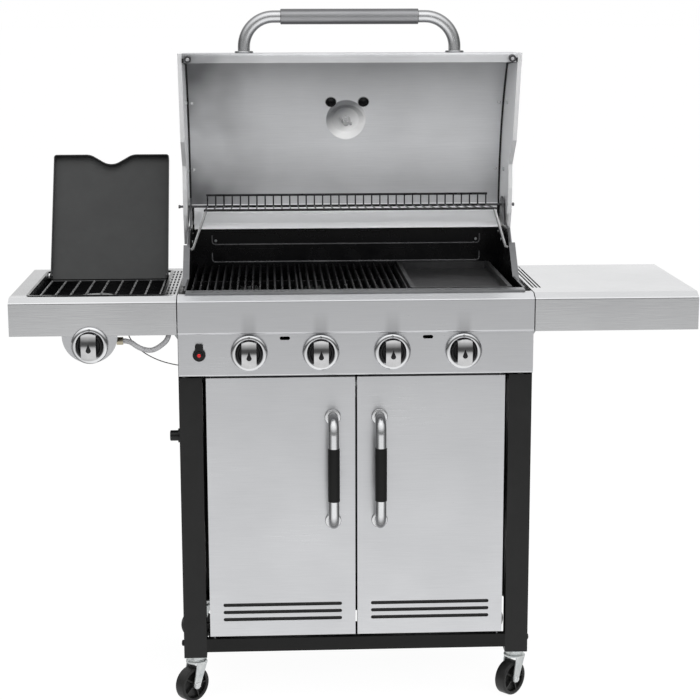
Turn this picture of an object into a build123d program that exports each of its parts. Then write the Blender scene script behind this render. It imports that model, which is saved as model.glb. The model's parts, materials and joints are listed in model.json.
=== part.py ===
"""Gas barbecue grill: a two-door cart on casters, a hinged lid and a side burner. Millimetres.

X runs to the right, Y to the back and Z up, with the floor at zero. Lids stand open and doors are shut.
"""

import os
from math import cos, pi, radians, sin, tan

from build123d import *

os.makedirs("parts", exist_ok=True)

# Cart
cart_width = 692.0
cart_depth = 398.0
cart_front = -192.0
sheet = 2.0
leg_face = 45.5
leg_lip = 30.0
web_rise = 131.0
foot_plate = 3.0
rail_drop = 11.5
rail_height = 27.0
tank_slot_length = 120.0
tank_slot_width = 75.0
tank_slot_back = 198.0
shelf_side_gap = 1.0
back_panel_height = 468.0
vent_length = 180.0
vent_width = 8.0
vent_count = 5
vent_pitch = 24.0
vent_side = 165.0
peg_diameter = 21.0
peg_flange = 28.0
peg_length = 20.0
peg_drop = 121.0
peg_back = 30.0

# Casters
caster_height = 95.5
caster_inset = 27.0
caster_plate = 2.5
caster_plate_side = 44.0
raceway_diameter = 42.0
fork_plate = 3.0
fork_arm = 2.5
fork_arm_width = 26.0
kingpin_diameter = 10.0
rivet_diameter = 16.0
rivet_height = 3.0
wheel_diameter = 70.0
wheel_width = 24.0
tread_depth = 8.0
hub_diameter = 18.0
hub_width = 28.0
wheel_web = 8.0
wheel_rib_count = 5
wheel_rib = 3.0
axle_diameter = 8.0
axle_boss = 16.0
fork_clear = 12.0
tread_round = 3.0
axle_reach = 3.0
trail = 12.0
swivel_front = 43.0
swivel_rear = 20.0

# Running and sliding fits
pin_clearance = 0.05
swivel_gap = 0.3
slide_gap = 0.3

# Doors
door_gap = 7.5
door_centre_gap = 4.0
door_depth = 16.0
door_height = 528.0
door_rise = 6.0
door_top_gap = 1.0
door_pin_diameter = 5.0
door_pin_side = 9.0
door_pin_back = 5.0
door_pin_reach = 10.0
louvre_count = 3
louvre_pitch = 15.0
louvre_height = 7.0
louvre_side = 27.0
louvre_rise = 35.0
door_tube = 21.0
door_handle_span = 210.0
door_handle_side = 44.0
door_handle_drop = 80.0
door_handle_reach = 48.0
door_rosette = 32.0
door_grip = 23.0
door_grip_length = 106.0

# Control panel
panel_gap = 7.0
lower_face_height = 84.0
upper_face_height = 63.0
bevel_height = 10.0
bevel_depth = 19.0
fascia_reach = 30.0
lower_face_set = 8.0
panel_bend = 2.5
top_flange = 8.0
burner_count = 4
burner_pitch = 138.5
knob_rise = 46.0
port_length = 20.0
port_width = 7.0
port_rise = 74.0
igniter_side = 42.0
igniter_rise = 43.0
cheek_depth = 20.0

# Knobs
bezel_diameter = 72.0
bezel_inner = 56.0
bezel_height = 9.0
knob_diameter = 50.0
knob_base = 13.0
lever_width = 29.0
lever_length = 52.0
lever_height = 18.0
knob_gap = 1.0
mark_width = 9.0
mark_length = 24.0
mark_depth = 2.0
stem_diameter = 8.0
stem_hole = 14.0

# Igniter
igniter_plate = 25.0
igniter_tall = 35.0
igniter_thick = 5.0
button_diameter = 15.0
button_proud = 4.0
igniter_neck = 15.5
igniter_round = 4.0
igniter_collar = 0.9
button_travel = 6.0
igniter_box = 18.0
igniter_box_depth = 32.0

# Gas train
manifold_diameter = 16.0
manifold_drop = 22.0
manifold_half = 288.0
manifold_back = -9.0
valve_diameter = 22.0
valve_length = 20.0
nozzle_diameter = 10.0
nozzle_length = 10.0
nozzle_gap = 2.0
neck_diameter = 12.0
burner_diameter = 25.0
burner_wall = 1.5
hose_diameter = 10.0
wire_diameter = 2.0
inlet_diameter = 10.0
inlet_length = 14.0
valve_set = 6.0
feed_rise = 15.0
feed_side = 16.0
feed_end_rise = 4.0
riser_inset = 7.0
pipe_bend = 10.0
side_inlet_reach = 62.0
side_inlet_rise = 4.0
side_nut = 8.0
side_nut_length = 12.0
wire_hole = 5.0
wire_hole_rise = 16.0
wire_back = 10.0

# Fire box
box_set = 22.0
box_depth = 385.0
box_wall_clear = 17.0
rim_height = 5.0
rim_front = -6.0
box_front_drop = 148.0
box_back_drop = 140.0
box_floor_drop = 196.0
box_back_rise = 77.0
box_floor_front = 92.0
box_floor_back = 320.0
end_plate = 4.0
end_flange_drop = 140.0
end_flange_inset = 30.0
ledge_depth = 14.0
grate_ledge_drop = 20.0
tent_ledge_drop = 70.0
drain_length = 90.0
drain_width = 40.0
emboss_drops = (8.0, 46.0)
emboss_height = 28.0
emboss_inset = 40.0
emboss_round = 8.0
emboss_depth = 1.5
grate_bar = 6.0
grate_height = 18.0
grate_crown = 5.0
grate_side = 8.0
grate_bar_count = 15
grate_width = 212.0
grate_gap = 3.0
griddle_side = 20.0
griddle_plate = 6.0
griddle_rim = 8.0
griddle_lift = 3.0
griddle_round = 8.0
grease_slot = 10.0
grease_slot_back = 12.0
tent_width = 92.0
tent_height = 32.0

# Hinge ears and the rod that carries the lid
hinge_inset = 49.0
hinge_rise = 128.0
rod_diameter = 5.0
rod_reach = 12.0
rod_nut = 8.0
rod_nut_length = 4.0
ear_boss = 18.0
ear_ahead = 40.0
ear_behind = 38.0
ear_foot_drop = 12.0
boss_angle = 16.0
slope_start = 170.0
slope_depth = 62.0
bead_tail = 12.0
bead_width = 9.0
bead_thick = 3.0

# Lid, in its shut pose, measured from the hinge rod
lid_open_angle = 81.4
lid_sheet = 2.0
lip_ahead = 342.0
lip_drop = 115.0
face_length = 120.4
face_lean = 8.6
roof_mid_ahead = 154.0
roof_mid_rise = 76.0
roof_back = 30.0
roof_back_rise = 79.0
rear_edge_back = 40.0
rear_edge_rise = 6.0
face_bend = 55.0
roof_bend = 32.0
lip_flange = 18.0
ear_notch = 62.0
ear_notch_width = 10.5
lid_side_gap = 3.5
lid_side_plate = 3.0
lid_side_rim = 5.5
side_slope_ahead = 158.0
side_slope_drop = 85.0
side_arch_ahead = 96.0
side_arch_drop = 36.0
side_tail_ahead = 48.0
side_tail_back = 7.0
side_tail_drop = 48.0
side_tail_rise = 24.0
bumper_diameter = 14.0
bumper_height = 11.7
bumper_side = 12.0
lid_tube = 25.0
lid_handle_span = 426.0
lid_handle_reach = 72.0
lid_handle_bend = 60.0
lid_handle_up = 45.0
lid_rosette = 38.0
rosette_height = 4.0
lid_grip = 31.0
lid_grip_length = 278.0
gauge_place = 0.47
dish_diameter = 84.0
dish_height = 12.0
gauge_diameter = 78.0
gauge_height = 16.0
gauge_wall = 4.0
gauge_floor = 3.0
gauge_stem = 12.0
gauge_stem_length = 22.0
wing_span = 30.0
lens_thick = 2.0
pointer_length = 27.0
pointer_width = 4.0
spindle_diameter = 4.0
spindle_length = 5.0
pointer_turn = 225.0
pointer_lift = 2.0
pointer_thick = 1.5
pointer_eye = 3.0
wing_width = 5.0
wing_turn = 30.0
wing_depth = 6.0
nut_collar = 4.0

# Warming rack
rack_wire = 3.0
rack_bar = 5.0
rack_half = 294.0
rack_ahead = 163.0
rack_rise = 9.0
fence_rise = 24.0
rack_wire_count = 35
rack_foot_ahead = 120.0
rack_foot_drop = 76.0

# Side shelves
strip_width = 26.0
shelf_depth = 400.0
shelf_back_drop = 58.0
recess_side = 34.0
recess_length = 259.0
recess_front = 3.0
recess_depth = 328.0
recess_round = 10.0
slot_length = 300.0
slot_width = 3.5
slot_count = 3
short_slot = 26.0
short_slot_pitch = 36.0
short_slot_count = 9
bracket_front = 5.0
bracket_back = 80.0
bracket_width = 11.0
bracket_height = 15.0
bracket_thick = 3.0

# Side burner
side_knob_side = 153.0
side_knob_drop = 18.0
bracket_radius = 53.0
tongue_width = 80.0
tongue_height = 28.0
pan_rim = 3.5
pan_depth = 43.0
pan_sheet = 1.5
pan_play = 0.2
side_head_diameter = 76.0
side_head_height = 18.0
side_tube = 22.0
side_head_back = 150.0
trivet_wire = 4.0
trivet_gap = 10.0
trivet_drop = 12.0
trivet_bars = 2
trivet_wires = 9
trivet_back_gap = 30.0
side_lid_width = 245.0
side_lid_length = 279.0
side_lid_flange = 14.0
side_lid_open_angle = 118.2
side_lid_rise = 8.0
side_hinge_inset = 24.0
side_hinge_drop = 5.0
side_lid_tail = 5.0
side_lid_round = 6.0
flange_short = 15.0
side_pin_diameter = 6.0
notch_width = 92.0
notch_depth = 28.0
notch_round = 32.0
lip_reach = 10.0
electrode_diameter = 8.0
electrode_length = 20.0
electrode_drop = 12.0
electrode_side = 100.0
electrode_back = 26.5
elbow_bend = 20.0

# Grease tray
tray_width = 230.0
tray_depth = 220.0
tray_height = 24.0
tray_lip = 8.0
runner_drop = 16.0

# Levels and planes that follow from the sizes above
half = cart_width / 2
inner = half - leg_face
front = cart_front
back = front + cart_depth
middle = front + cart_depth / 2
leg_bottom = caster_height
leg_length = rail_drop + rail_height + door_rise + door_height + door_top_gap
leg_top = leg_bottom + leg_length
web_top = leg_top + web_rise
rail_bottom = leg_bottom + rail_drop
rail_top = rail_bottom + rail_height
door_bottom = rail_top + door_rise
door_top = door_bottom + door_height
panel_bottom = leg_top + panel_gap
crease = panel_bottom + lower_face_height
fascia_top = crease + upper_face_height
panel_top = fascia_top + bevel_height
fascia_face = front - fascia_reach
panel_face = fascia_face + lower_face_set
bevel_back = fascia_face + bevel_depth
rim_top = panel_top + rim_height
box_front = front + box_set
box_back = box_front + box_depth
box_half = half - box_wall_clear
ear_outer = box_half + end_plate
hinge_y = box_back - hinge_inset
hinge_z = rim_top + hinge_rise
lid_half = ear_outer + lid_side_gap
knob_z = panel_bottom + knob_rise
knob_places = [(i - (burner_count - 1) / 2) * burner_pitch for i in range(burner_count)]
manifold_y = front + manifold_back
manifold_z = knob_z - manifold_drop
shelf_length = strip_width + recess_length + recess_side
side_knob_x = -(half + shelf_length - side_knob_side)
side_knob_z = crease - side_knob_drop
caster_x = half - leg_face / 2
shelf_end = half + shelf_length
shelf_back = front - fascia_reach + shelf_depth
recess_out = shelf_end - recess_side
recess_in = recess_out - recess_length
recess_mid_x = -(recess_out + recess_in) / 2
recess_mid_y = front + recess_front + recess_depth / 2
feed_z = crease + feed_rise
feed_x = -(half + feed_side)
feed_end = crease + feed_end_rise
riser_x = -(box_half - riser_inset)
wire_hole_z = panel_bottom + wire_hole_rise
wire_y = front + wire_back
side_inlet_x = side_knob_x + side_inlet_reach
side_inlet_z = side_knob_z + side_inlet_rise

# Planes of the open lid: local X runs back and local Y up when it is shut
lid_turn = radians(lid_open_angle)
lid_plane = Plane(
    origin=(0, hinge_y, hinge_z), x_dir=(0, cos(lid_turn), -sin(lid_turn)), z_dir=(1, 0, 0)
)
lip = Vector(-lip_ahead, -lip_drop)
face_top = lip + Vector(sin(radians(face_lean)), cos(radians(face_lean))) * face_length
roof_mid = Vector(-roof_mid_ahead, roof_mid_rise)
roof_end = Vector(roof_back, roof_back_rise)
rear_edge = Vector(rear_edge_back, rear_edge_rise)
roof_arc = ThreePointArc(face_top, roof_mid, roof_end)


def save(piece, name):
    """Label a finished piece and write its file."""
    piece.part.label = name
    export_step(piece.part, f"parts/{name}.step")


def front_plane(x, y, z):
    """Plane on a front face: local X to the right, local Y up, facing forwards."""
    return Plane(origin=(x, y, z), x_dir=(1, 0, 0), z_dir=(0, -1, 0))


def lid_point(x, local):
    """Place in the open lid of a point given across it and in its shut section."""
    return lid_plane.origin + lid_plane.x_dir * local.X + lid_plane.y_dir * local.Y + Vector(x, 0, 0)


def lid_normal_plane(local, tangent):
    """Plane on the lid's skin, facing out, with local X across the lid."""
    outward = lid_plane.x_dir * -tangent.Y + lid_plane.y_dir * tangent.X
    return Plane(origin=lid_point(0, local), x_dir=(1, 0, 0), z_dir=outward)


def bent_handle(plane, span, reach, bend, tube, rosette):
    """Tube handle on a face: two feet, a bar at the given reach, and a rosette under each foot."""
    upright = Plane(origin=plane.origin, x_dir=plane.x_dir, z_dir=plane.x_dir.cross(plane.z_dir))
    with BuildPart() as handle:
        with BuildLine(upright) as path:
            FilletPolyline((-span / 2, 0), (-span / 2, reach), (span / 2, reach), (span / 2, 0), radius=bend)
        with BuildSketch(path.line ^ 0):
            Circle(tube / 2)
        sweep()
        with BuildSketch(plane):
            with Locations((-span / 2, 0), (span / 2, 0)):
                Circle(rosette / 2)
        extrude(amount=rosette_height)
    return handle


def sleeve(plane, length, bore, outside):
    """Grip sleeve centred on a plane's origin, along its normal."""
    with BuildPart() as grip:
        with BuildSketch(plane.offset(-length / 2)):
            Circle(outside / 2)
            Circle(bore / 2, mode=Mode.SUBTRACT)
        extrude(amount=length)
        rims = grip.edges().filter_by(GeomType.CIRCLE).filter_by(lambda e: e.radius > bore / 2 + 0.5)
        fillet(rims, min(1.5, (outside - bore) / 3))
    return grip


# Side panels: bent channels with the legs at their corners
def side_panel(side, name):
    with BuildPart() as panel:
        with BuildSketch(Plane.XY.offset(leg_bottom)):
            with Locations((side * caster_x, middle)):
                Rectangle(leg_face, cart_depth)
                Rectangle(leg_face - 2 * sheet, cart_depth - 2 * sheet, mode=Mode.SUBTRACT)
            with Locations((side * (inner + sheet / 2), middle)):
                Rectangle(sheet, cart_depth - 2 * leg_lip, mode=Mode.SUBTRACT)
        extrude(amount=leg_length)
        with BuildSketch(Plane.XY.offset(leg_top)):
            with Locations((side * (half - sheet / 2), middle)):
                Rectangle(sheet, cart_depth)
        extrude(amount=web_rise)
        with BuildSketch(Plane.XY.offset(leg_bottom)):
            with Locations((side * caster_x, front + caster_inset), (side * caster_x, back - caster_inset)):
                Rectangle(leg_face - 2 * sheet, 2 * (caster_inset - sheet))
        extrude(amount=foot_plate)
        if side < 0:
            with BuildSketch(Plane.YZ.offset(-half)):
                with Locations((wire_y, wire_hole_z)):
                    Circle(wire_hole)
            extrude(amount=sheet, mode=Mode.SUBTRACT)
    save(panel, name)


side_panel(-1, "left_side_panel")
side_panel(1, "right_side_panel")

# Bottom shelf: a tray between the legs, open along its sides and under the gas bottle
with BuildPart() as bottom_shelf:
    with BuildSketch(Plane.XY.offset(rail_bottom)):
        with Locations((0, middle)):
            Rectangle(2 * (inner - shelf_side_gap), cart_depth)
        with Locations((0, front + tank_slot_back)):
            SlotOverall(tank_slot_length, tank_slot_width, mode=Mode.SUBTRACT)
    extrude(amount=sheet)
    with BuildSketch(Plane.XY.offset(rail_bottom)):
        with Locations((0, front + sheet / 2), (0, back - sheet / 2)):
            Rectangle(2 * inner, sheet)
    extrude(amount=rail_height)
    with BuildSketch(Plane.XY.offset(rail_top - sheet)):
        with Locations((0, front + door_depth / 2), (0, back - door_depth / 2)):
            Rectangle(2 * inner, door_depth)
    extrude(amount=sheet)
save(bottom_shelf, "bottom_shelf")

# Back panel with four groups of vents
with BuildPart() as back_panel:
    with BuildSketch(Plane.XZ.offset(-back + 2 * sheet)):
        with Locations((0, rail_top + back_panel_height / 2)):
            Rectangle(2 * inner, back_panel_height)
        for level in (rail_top + 0.15 * back_panel_height, rail_top + 0.85 * back_panel_height):
            with Locations((0, level)):
                with GridLocations(2 * vent_side, vent_pitch, 2, vent_count):
                    SlotOverall(vent_length, vent_width, mode=Mode.SUBTRACT)
    extrude(amount=-sheet)
save(back_panel, "back_panel")

# Hinge pins: two for each door, and two for the side burner's lid
side_hinge_y = front + recess_front + recess_depth - side_hinge_inset
side_hinge_z = panel_top - side_hinge_drop
door_pin_x = inner - door_gap - door_pin_side
door_pin_y = front + door_pin_back
with BuildPart() as hinge_pins:
    for level, length in (
        (rail_top, door_rise + door_pin_reach),
        (panel_bottom, door_top - panel_bottom - door_pin_reach),
    ):
        with BuildSketch(Plane.XY.offset(level)):
            with Locations((-door_pin_x, door_pin_y), (door_pin_x, door_pin_y)):
                Circle(door_pin_diameter / 2)
        extrude(amount=length)
    for wall, way in ((-(recess_out - pan_sheet), 1), (-(recess_in + pan_sheet), -1)):
        with BuildSketch(Plane.YZ.offset(wall)):
            with Locations((side_hinge_y, side_hinge_z)):
                Circle(side_pin_diameter / 2)
        reach = (recess_length - side_lid_width) / 2 - pan_sheet + 2 * sheet
        extrude(amount=way * reach)
save(hinge_pins, "hinge_pins")

# Tool peg on the left leg
peg_plane = Plane(origin=(-half, front + peg_back, leg_top - peg_drop), x_dir=(0, -1, 0), z_dir=(-1, 0, 0))
with BuildPart() as tool_peg:
    with BuildSketch(peg_plane):
        Circle(peg_flange / 2)
    extrude(amount=2 * sheet)
    with BuildSketch(peg_plane):
        Circle(peg_diameter / 2)
    extrude(amount=peg_length)
    fillet(tool_peg.edges().group_by(Axis.X)[0], 2)
save(tool_peg, "tool_peg")

# Casters: plates and kingpins stay with the cart, forks swivel, wheels turn
plate_bottom = leg_bottom - caster_plate
axle_z = wheel_diameter / 2
fork_top = axle_z + wheel_diameter / 2 + fork_clear
caster_spots = {
    "front_left": (-caster_x, front + caster_inset, swivel_front),
    "front_right": (caster_x, front + caster_inset, swivel_front),
    "rear_left": (-caster_x, back - caster_inset, swivel_rear),
    "rear_right": (caster_x, back - caster_inset, swivel_rear),
}
bottom = (Align.CENTER, Align.CENTER, Align.MIN)
top = (Align.CENTER, Align.CENTER, Align.MAX)
with BuildPart() as caster_plates:
    with Locations([(x, y, leg_bottom) for x, y, swivel in caster_spots.values()]):
        Box(caster_plate_side, caster_plate_side, caster_plate, align=top)
    with Locations([(x, y, fork_top + swivel_gap) for x, y, swivel in caster_spots.values()]):
        raceway_height = plate_bottom - fork_top - swivel_gap
        Cone(raceway_diameter / 2 - 4, raceway_diameter / 2, raceway_height, align=bottom)
        Cylinder(kingpin_diameter / 2, fork_plate + 2 * swivel_gap + rivet_height, align=top)
    with Locations([(x, y, fork_top - fork_plate - swivel_gap) for x, y, swivel in caster_spots.values()]):
        Cylinder(rivet_diameter / 2, rivet_height, align=top)
save(caster_plates, "caster_plates")


def caster(spot, x, y, swivel):
    """One fork and its wheel, turned about the kingpin."""
    turn = radians(swivel)
    rolling = Plane(origin=(x, y, 0), x_dir=(cos(turn), sin(turn), 0), z_dir=(sin(turn), -cos(turn), 0))
    arm_gap = hub_width / 2 + slide_gap
    with BuildPart() as fork:
        for way in (-1, 1):
            with BuildSketch(rolling.offset(way * arm_gap)):
                with Locations((-trail, axle_z)):
                    Circle(axle_boss / 2)
                with Locations((2, fork_top - fork_plate / 2)):
                    Rectangle(fork_arm_width, fork_plate)
                make_hull()
            extrude(amount=way * fork_arm)
        with BuildSketch(Plane(origin=(x, y, fork_top - fork_plate), x_dir=rolling.x_dir, z_dir=(0, 0, 1))):
            Rectangle(fork_arm_width, 2 * (arm_gap + fork_arm))
            Circle(raceway_diameter / 2)
            Circle(kingpin_diameter / 2 + pin_clearance, mode=Mode.SUBTRACT)
        extrude(amount=fork_plate)
        axle_length = arm_gap + fork_arm + axle_reach
        with BuildSketch(rolling.offset(-axle_length)):
            with Locations((-trail, axle_z)):
                Circle(axle_diameter / 2)
        extrude(amount=2 * axle_length)
    save(fork, f"caster_fork_{spot}")

    hub = Vector(x - trail * cos(turn), y - trail * sin(turn), axle_z)
    section = Plane(origin=hub, x_dir=rolling.z_dir, z_dir=rolling.x_dir)
    with BuildPart() as wheel:
        with BuildSketch(section):
            with Locations((0, (wheel_diameter - tread_depth) / 2)):
                RectangleRounded(wheel_width, tread_depth, tread_round)
            with Locations((0, wheel_diameter / 4)):
                Rectangle(wheel_web, wheel_diameter / 2 - tread_depth)
            with Locations((0, hub_diameter / 4)):
                Rectangle(hub_width, hub_diameter / 2)
            bore = axle_diameter / 2 + pin_clearance
            with Locations((0, bore / 2)):
                Rectangle(hub_width, bore, mode=Mode.SUBTRACT)
        revolve(axis=Axis(section.origin, section.x_dir))
        rib_plane = Plane(origin=section.origin, x_dir=rolling.x_dir, z_dir=rolling.z_dir)
        rib_length = wheel_diameter / 2 - tread_depth - hub_diameter / 2 + 2
        with BuildSketch(rib_plane.offset(-wheel_width / 2 + 2)):
            with PolarLocations(hub_diameter / 2 + rib_length / 2 - 1, wheel_rib_count):
                Rectangle(rib_length, wheel_rib)
        extrude(amount=wheel_width - 4)
    save(wheel, f"caster_wheel_{spot}")


for spot, (x, y, swivel) in caster_spots.items():
    caster(spot, x, y, swivel)


# Doors: folded sheet with returns, louvres low down, and a hole at each pin
def door(side, name):
    width = inner - door_gap - door_centre_gap / 2
    centre = side * (door_centre_gap / 2 + width / 2)
    with BuildPart() as leaf:
        with BuildSketch(front_plane(centre, front, door_bottom)):
            with Locations((0, door_height / 2)):
                Rectangle(width, door_height)
        extrude(amount=-door_depth)
        with BuildSketch(front_plane(centre, front + door_depth, door_bottom)):
            with Locations((0, door_height / 2)):
                Rectangle(width - 2 * sheet, door_height - 2 * sheet)
        extrude(amount=door_depth - sheet, mode=Mode.SUBTRACT)
        with BuildSketch(front_plane(centre, front, door_bottom)):
            with Locations((0, louvre_rise + louvre_pitch * (louvre_count - 1) / 2)):
                with GridLocations(0, louvre_pitch, 1, louvre_count):
                    SlotOverall(width - 2 * louvre_side, louvre_height)
        extrude(amount=-sheet, mode=Mode.SUBTRACT)
        with BuildSketch(Plane.XY.offset(door_bottom)):
            with Locations((side * door_pin_x, door_pin_y)):
                Circle(door_pin_diameter / 2 + pin_clearance)
        extrude(amount=door_height, mode=Mode.SUBTRACT)
    save(leaf, name)


for side, word in ((-1, "left"), (1, "right")):
    door(side, f"{word}_door")
    handle_z = door_top - door_handle_drop - door_handle_span / 2
    handle_x = side * (door_centre_gap / 2 + door_handle_side)
    handle_plane = Plane(origin=(handle_x, front, handle_z), x_dir=(0, 0, 1), z_dir=(0, -1, 0))
    bend = door_handle_reach - door_tube
    door_handle = bent_handle(
        handle_plane, door_handle_span, door_handle_reach, bend, door_tube, door_rosette
    )
    save(door_handle, f"{word}_door_handle")
    bar_plane = Plane(origin=(handle_x, front - door_handle_reach, handle_z))
    door_sleeve = sleeve(bar_plane, door_grip_length, door_tube + 2 * pin_clearance, door_grip)
    save(door_sleeve, f"{word}_door_grip")

# Fire box: one bent sheet from the front rim under the burners and up the back, with ledges and runners
with BuildPart() as firebox:
    with BuildSketch(Plane.YZ):
        with BuildLine():
            FilletPolyline(
                (box_front + sheet / 2, rim_top),
                (box_front + sheet / 2, rim_top - box_front_drop),
                (front + box_floor_front, rim_top - box_floor_drop),
                (front + box_floor_back, rim_top - box_floor_drop),
                (box_back - sheet / 2, rim_top - box_back_drop),
                (box_back - sheet / 2, rim_top + box_back_rise),
                radius=3 * sheet,
            )
        trace(line_width=sheet)
        rim_depth = box_set + sheet - rim_front
        with Locations((front + rim_front + rim_depth / 2, panel_top + rim_height / 2)):
            Rectangle(rim_depth, rim_height)
        for drop in (grate_ledge_drop, tent_ledge_drop):
            with Locations((box_front + sheet + ledge_depth / 2, rim_top - drop - sheet / 2)):
                Rectangle(ledge_depth, sheet)
            with Locations((box_back - sheet - ledge_depth / 2, rim_top - drop - sheet / 2)):
                Rectangle(ledge_depth, sheet)
    extrude(amount=box_half, both=True)
    with BuildSketch(front_plane(0, box_front, knob_z)):
        with Locations([(x, 0) for x in knob_places]):
            Circle(burner_diameter / 2 + slide_gap)
    extrude(amount=-sheet, mode=Mode.SUBTRACT)
    floor_bottom = rim_top - box_floor_drop - sheet / 2
    floor_mid = front + (box_floor_front + box_floor_back) / 2
    with BuildSketch(Plane.XY.offset(floor_bottom)):
        with Locations((0, floor_mid)):
            SlotOverall(drain_length, drain_width)
    extrude(amount=sheet, mode=Mode.SUBTRACT)
    runner_half = tray_width / 2 + tray_lip + slide_gap
    with BuildSketch(Plane.XZ.offset(-floor_mid)):
        for way in (-1, 1):
            with Locations((way * (runner_half + sheet / 2), floor_bottom - runner_drop / 2)):
                Rectangle(sheet, runner_drop)
            lip_x = way * (runner_half + sheet - tray_lip / 2)
            with Locations((lip_x, floor_bottom - runner_drop + sheet / 2)):
                Rectangle(tray_lip, sheet)
    extrude(amount=tray_depth / 2, both=True)
    for drop in emboss_drops:
        with BuildSketch(front_plane(0, box_back - sheet, rim_top + box_back_rise - drop)):
            with Locations((0, -emboss_height / 2)):
                RectangleRounded(2 * (box_half - emboss_inset), emboss_height, emboss_round)
        extrude(amount=emboss_depth)
save(firebox, "firebox")

# End plates of the fire box: each has a hinge ear, a foot flange and a turned-out front edge
ear_foot = Vector(hinge_y - ear_ahead, rim_top + box_back_rise - ear_foot_drop)
slope_foot = Vector(front + slope_start, rim_top)
slope_top = slope_foot + Vector(slope_depth, slope_depth)
boss_side = ear_boss * cos(radians(boss_angle))
boss_low = ear_boss * sin(radians(boss_angle))
with BuildPart() as firebox_end_plates:
    for side in (-1, 1):
        with BuildSketch(Plane.YZ.offset(side * box_half)):
            with BuildLine():
                Polyline(
                    (box_front, rim_top - end_flange_drop),
                    (box_front, rim_top),
                    slope_foot,
                    slope_top,
                    ear_foot,
                    (hinge_y - boss_side, hinge_z - boss_low),
                    (hinge_y + boss_side, hinge_z - boss_low),
                    (hinge_y + ear_behind, ear_foot.Y),
                    (box_back, ear_foot.Y),
                    (box_back, rim_top - end_flange_drop),
                    close=True,
                )
            make_face()
            with Locations((hinge_y, hinge_z)):
                Circle(ear_boss)
                Circle(rod_diameter / 2 + pin_clearance, mode=Mode.SUBTRACT)
        extrude(amount=side * end_plate)
        with BuildSketch(Plane.XY.offset(rim_top - end_flange_drop)):
            flange = half - sheet - box_half
            with Locations((side * (box_half + flange / 2), (box_front + box_back) / 2)):
                Rectangle(flange, box_depth - 2 * end_flange_inset)
        extrude(amount=sheet)
        with BuildSketch(Plane.YZ.offset(side * box_half)):
            with BuildLine():
                Polyline(
                    slope_foot - Vector(bead_tail, bead_tail),
                    slope_top,
                    slope_top + Vector(bead_thick, -bead_thick),
                    slope_foot - Vector(bead_tail - bead_thick, bead_tail + bead_thick),
                    close=True,
                )
            make_face()
        extrude(amount=side * (end_plate + bead_width))
save(firebox_end_plates, "firebox_end_plates")

# Hinge rod through both ears, with a nut outside each lid end
rod_end = lid_half + lid_side_plate + lid_side_rim + rod_reach
with BuildPart() as hinge_rod:
    with BuildSketch(Plane.YZ):
        with Locations((hinge_y, hinge_z)):
            Circle(rod_diameter / 2)
    extrude(amount=rod_end, both=True)
    for side in (-1, 1):
        with BuildSketch(Plane.YZ.offset(side * (rod_end - rod_nut_length))):
            with Locations((hinge_y, hinge_z)):
                RegularPolygon(rod_nut / 2, 6)
        extrude(amount=side * rod_nut_length)
save(hinge_rod, "hinge_rod")

# Control panel: bent sheet with a raised upper band, cheeks at its ends and a flange over the doors
panel_half = half - sheet
panel_outline = [
    (panel_face + sheet / 2, panel_bottom + sheet / 2),
    (panel_face + sheet / 2, crease + sheet / 2),
    (fascia_face + sheet / 2, crease + sheet / 2),
    (fascia_face + sheet / 2, fascia_top),
    (bevel_back, panel_top - sheet / 2),
]
with BuildPart() as control_panel:
    with BuildSketch(Plane.YZ):
        with BuildLine():
            FilletPolyline(
                (front, panel_bottom + sheet / 2),
                *panel_outline,
                (front + top_flange, panel_top - sheet / 2),
                radius=panel_bend,
            )
        trace(line_width=sheet)
    extrude(amount=panel_half, both=True)
    for side in (-1, 1):
        with BuildSketch(Plane.YZ.offset(side * panel_half)):
            with BuildLine():
                Polyline(
                    *panel_outline,
                    (front + cheek_depth, panel_top - sheet / 2),
                    (front + cheek_depth, panel_bottom + sheet / 2),
                    close=True,
                )
            make_face()
        extrude(amount=-side * sheet)
    with BuildSketch(Plane.XY.offset(panel_bottom)):
        with Locations((0, front + box_set / 2)):
            Rectangle(2 * inner - 4, box_set)
    extrude(amount=sheet)
    with BuildSketch(front_plane(0, panel_face, panel_bottom)):
        with Locations([(x, knob_rise) for x in knob_places]):
            Circle(stem_hole / 2)
        with Locations((-burner_pitch, port_rise), (burner_pitch, port_rise)):
            SlotOverall(port_length, port_width)
        with Locations((-(half - igniter_side), igniter_rise)):
            Circle(button_diameter / 2 + 1)
    extrude(amount=-sheet, mode=Mode.SUBTRACT)
    with BuildSketch(Plane.YZ.offset(-panel_half)):
        with Locations((manifold_y, feed_z)):
            Circle(manifold_diameter / 2 + 1)
        with Locations((wire_y, wire_hole_z)):
            Circle(wire_hole)
    extrude(amount=sheet, mode=Mode.SUBTRACT)
save(control_panel, "control_panel")

# Knobs, their bezels and the valves behind them
knob_spots = [(x, panel_face, knob_z) for x in knob_places] + [(side_knob_x, fascia_face, side_knob_z)]
with BuildPart() as knob_bezels:
    for spot in knob_spots:
        with BuildSketch(Plane(origin=spot, x_dir=(1, 0, 0), z_dir=(0, 0, 1))):
            with BuildLine():
                Polyline(
                    (bezel_inner / 2, 0),
                    (bezel_diameter / 2, 0),
                    (bezel_diameter / 2, -2),
                    (bezel_inner / 2 + 4, -bezel_height),
                    (bezel_inner / 2, -bezel_height),
                    close=True,
                )
            make_face()
        revolve(axis=Axis(spot, (0, 1, 0)))
save(knob_bezels, "knob_bezels")

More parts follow.
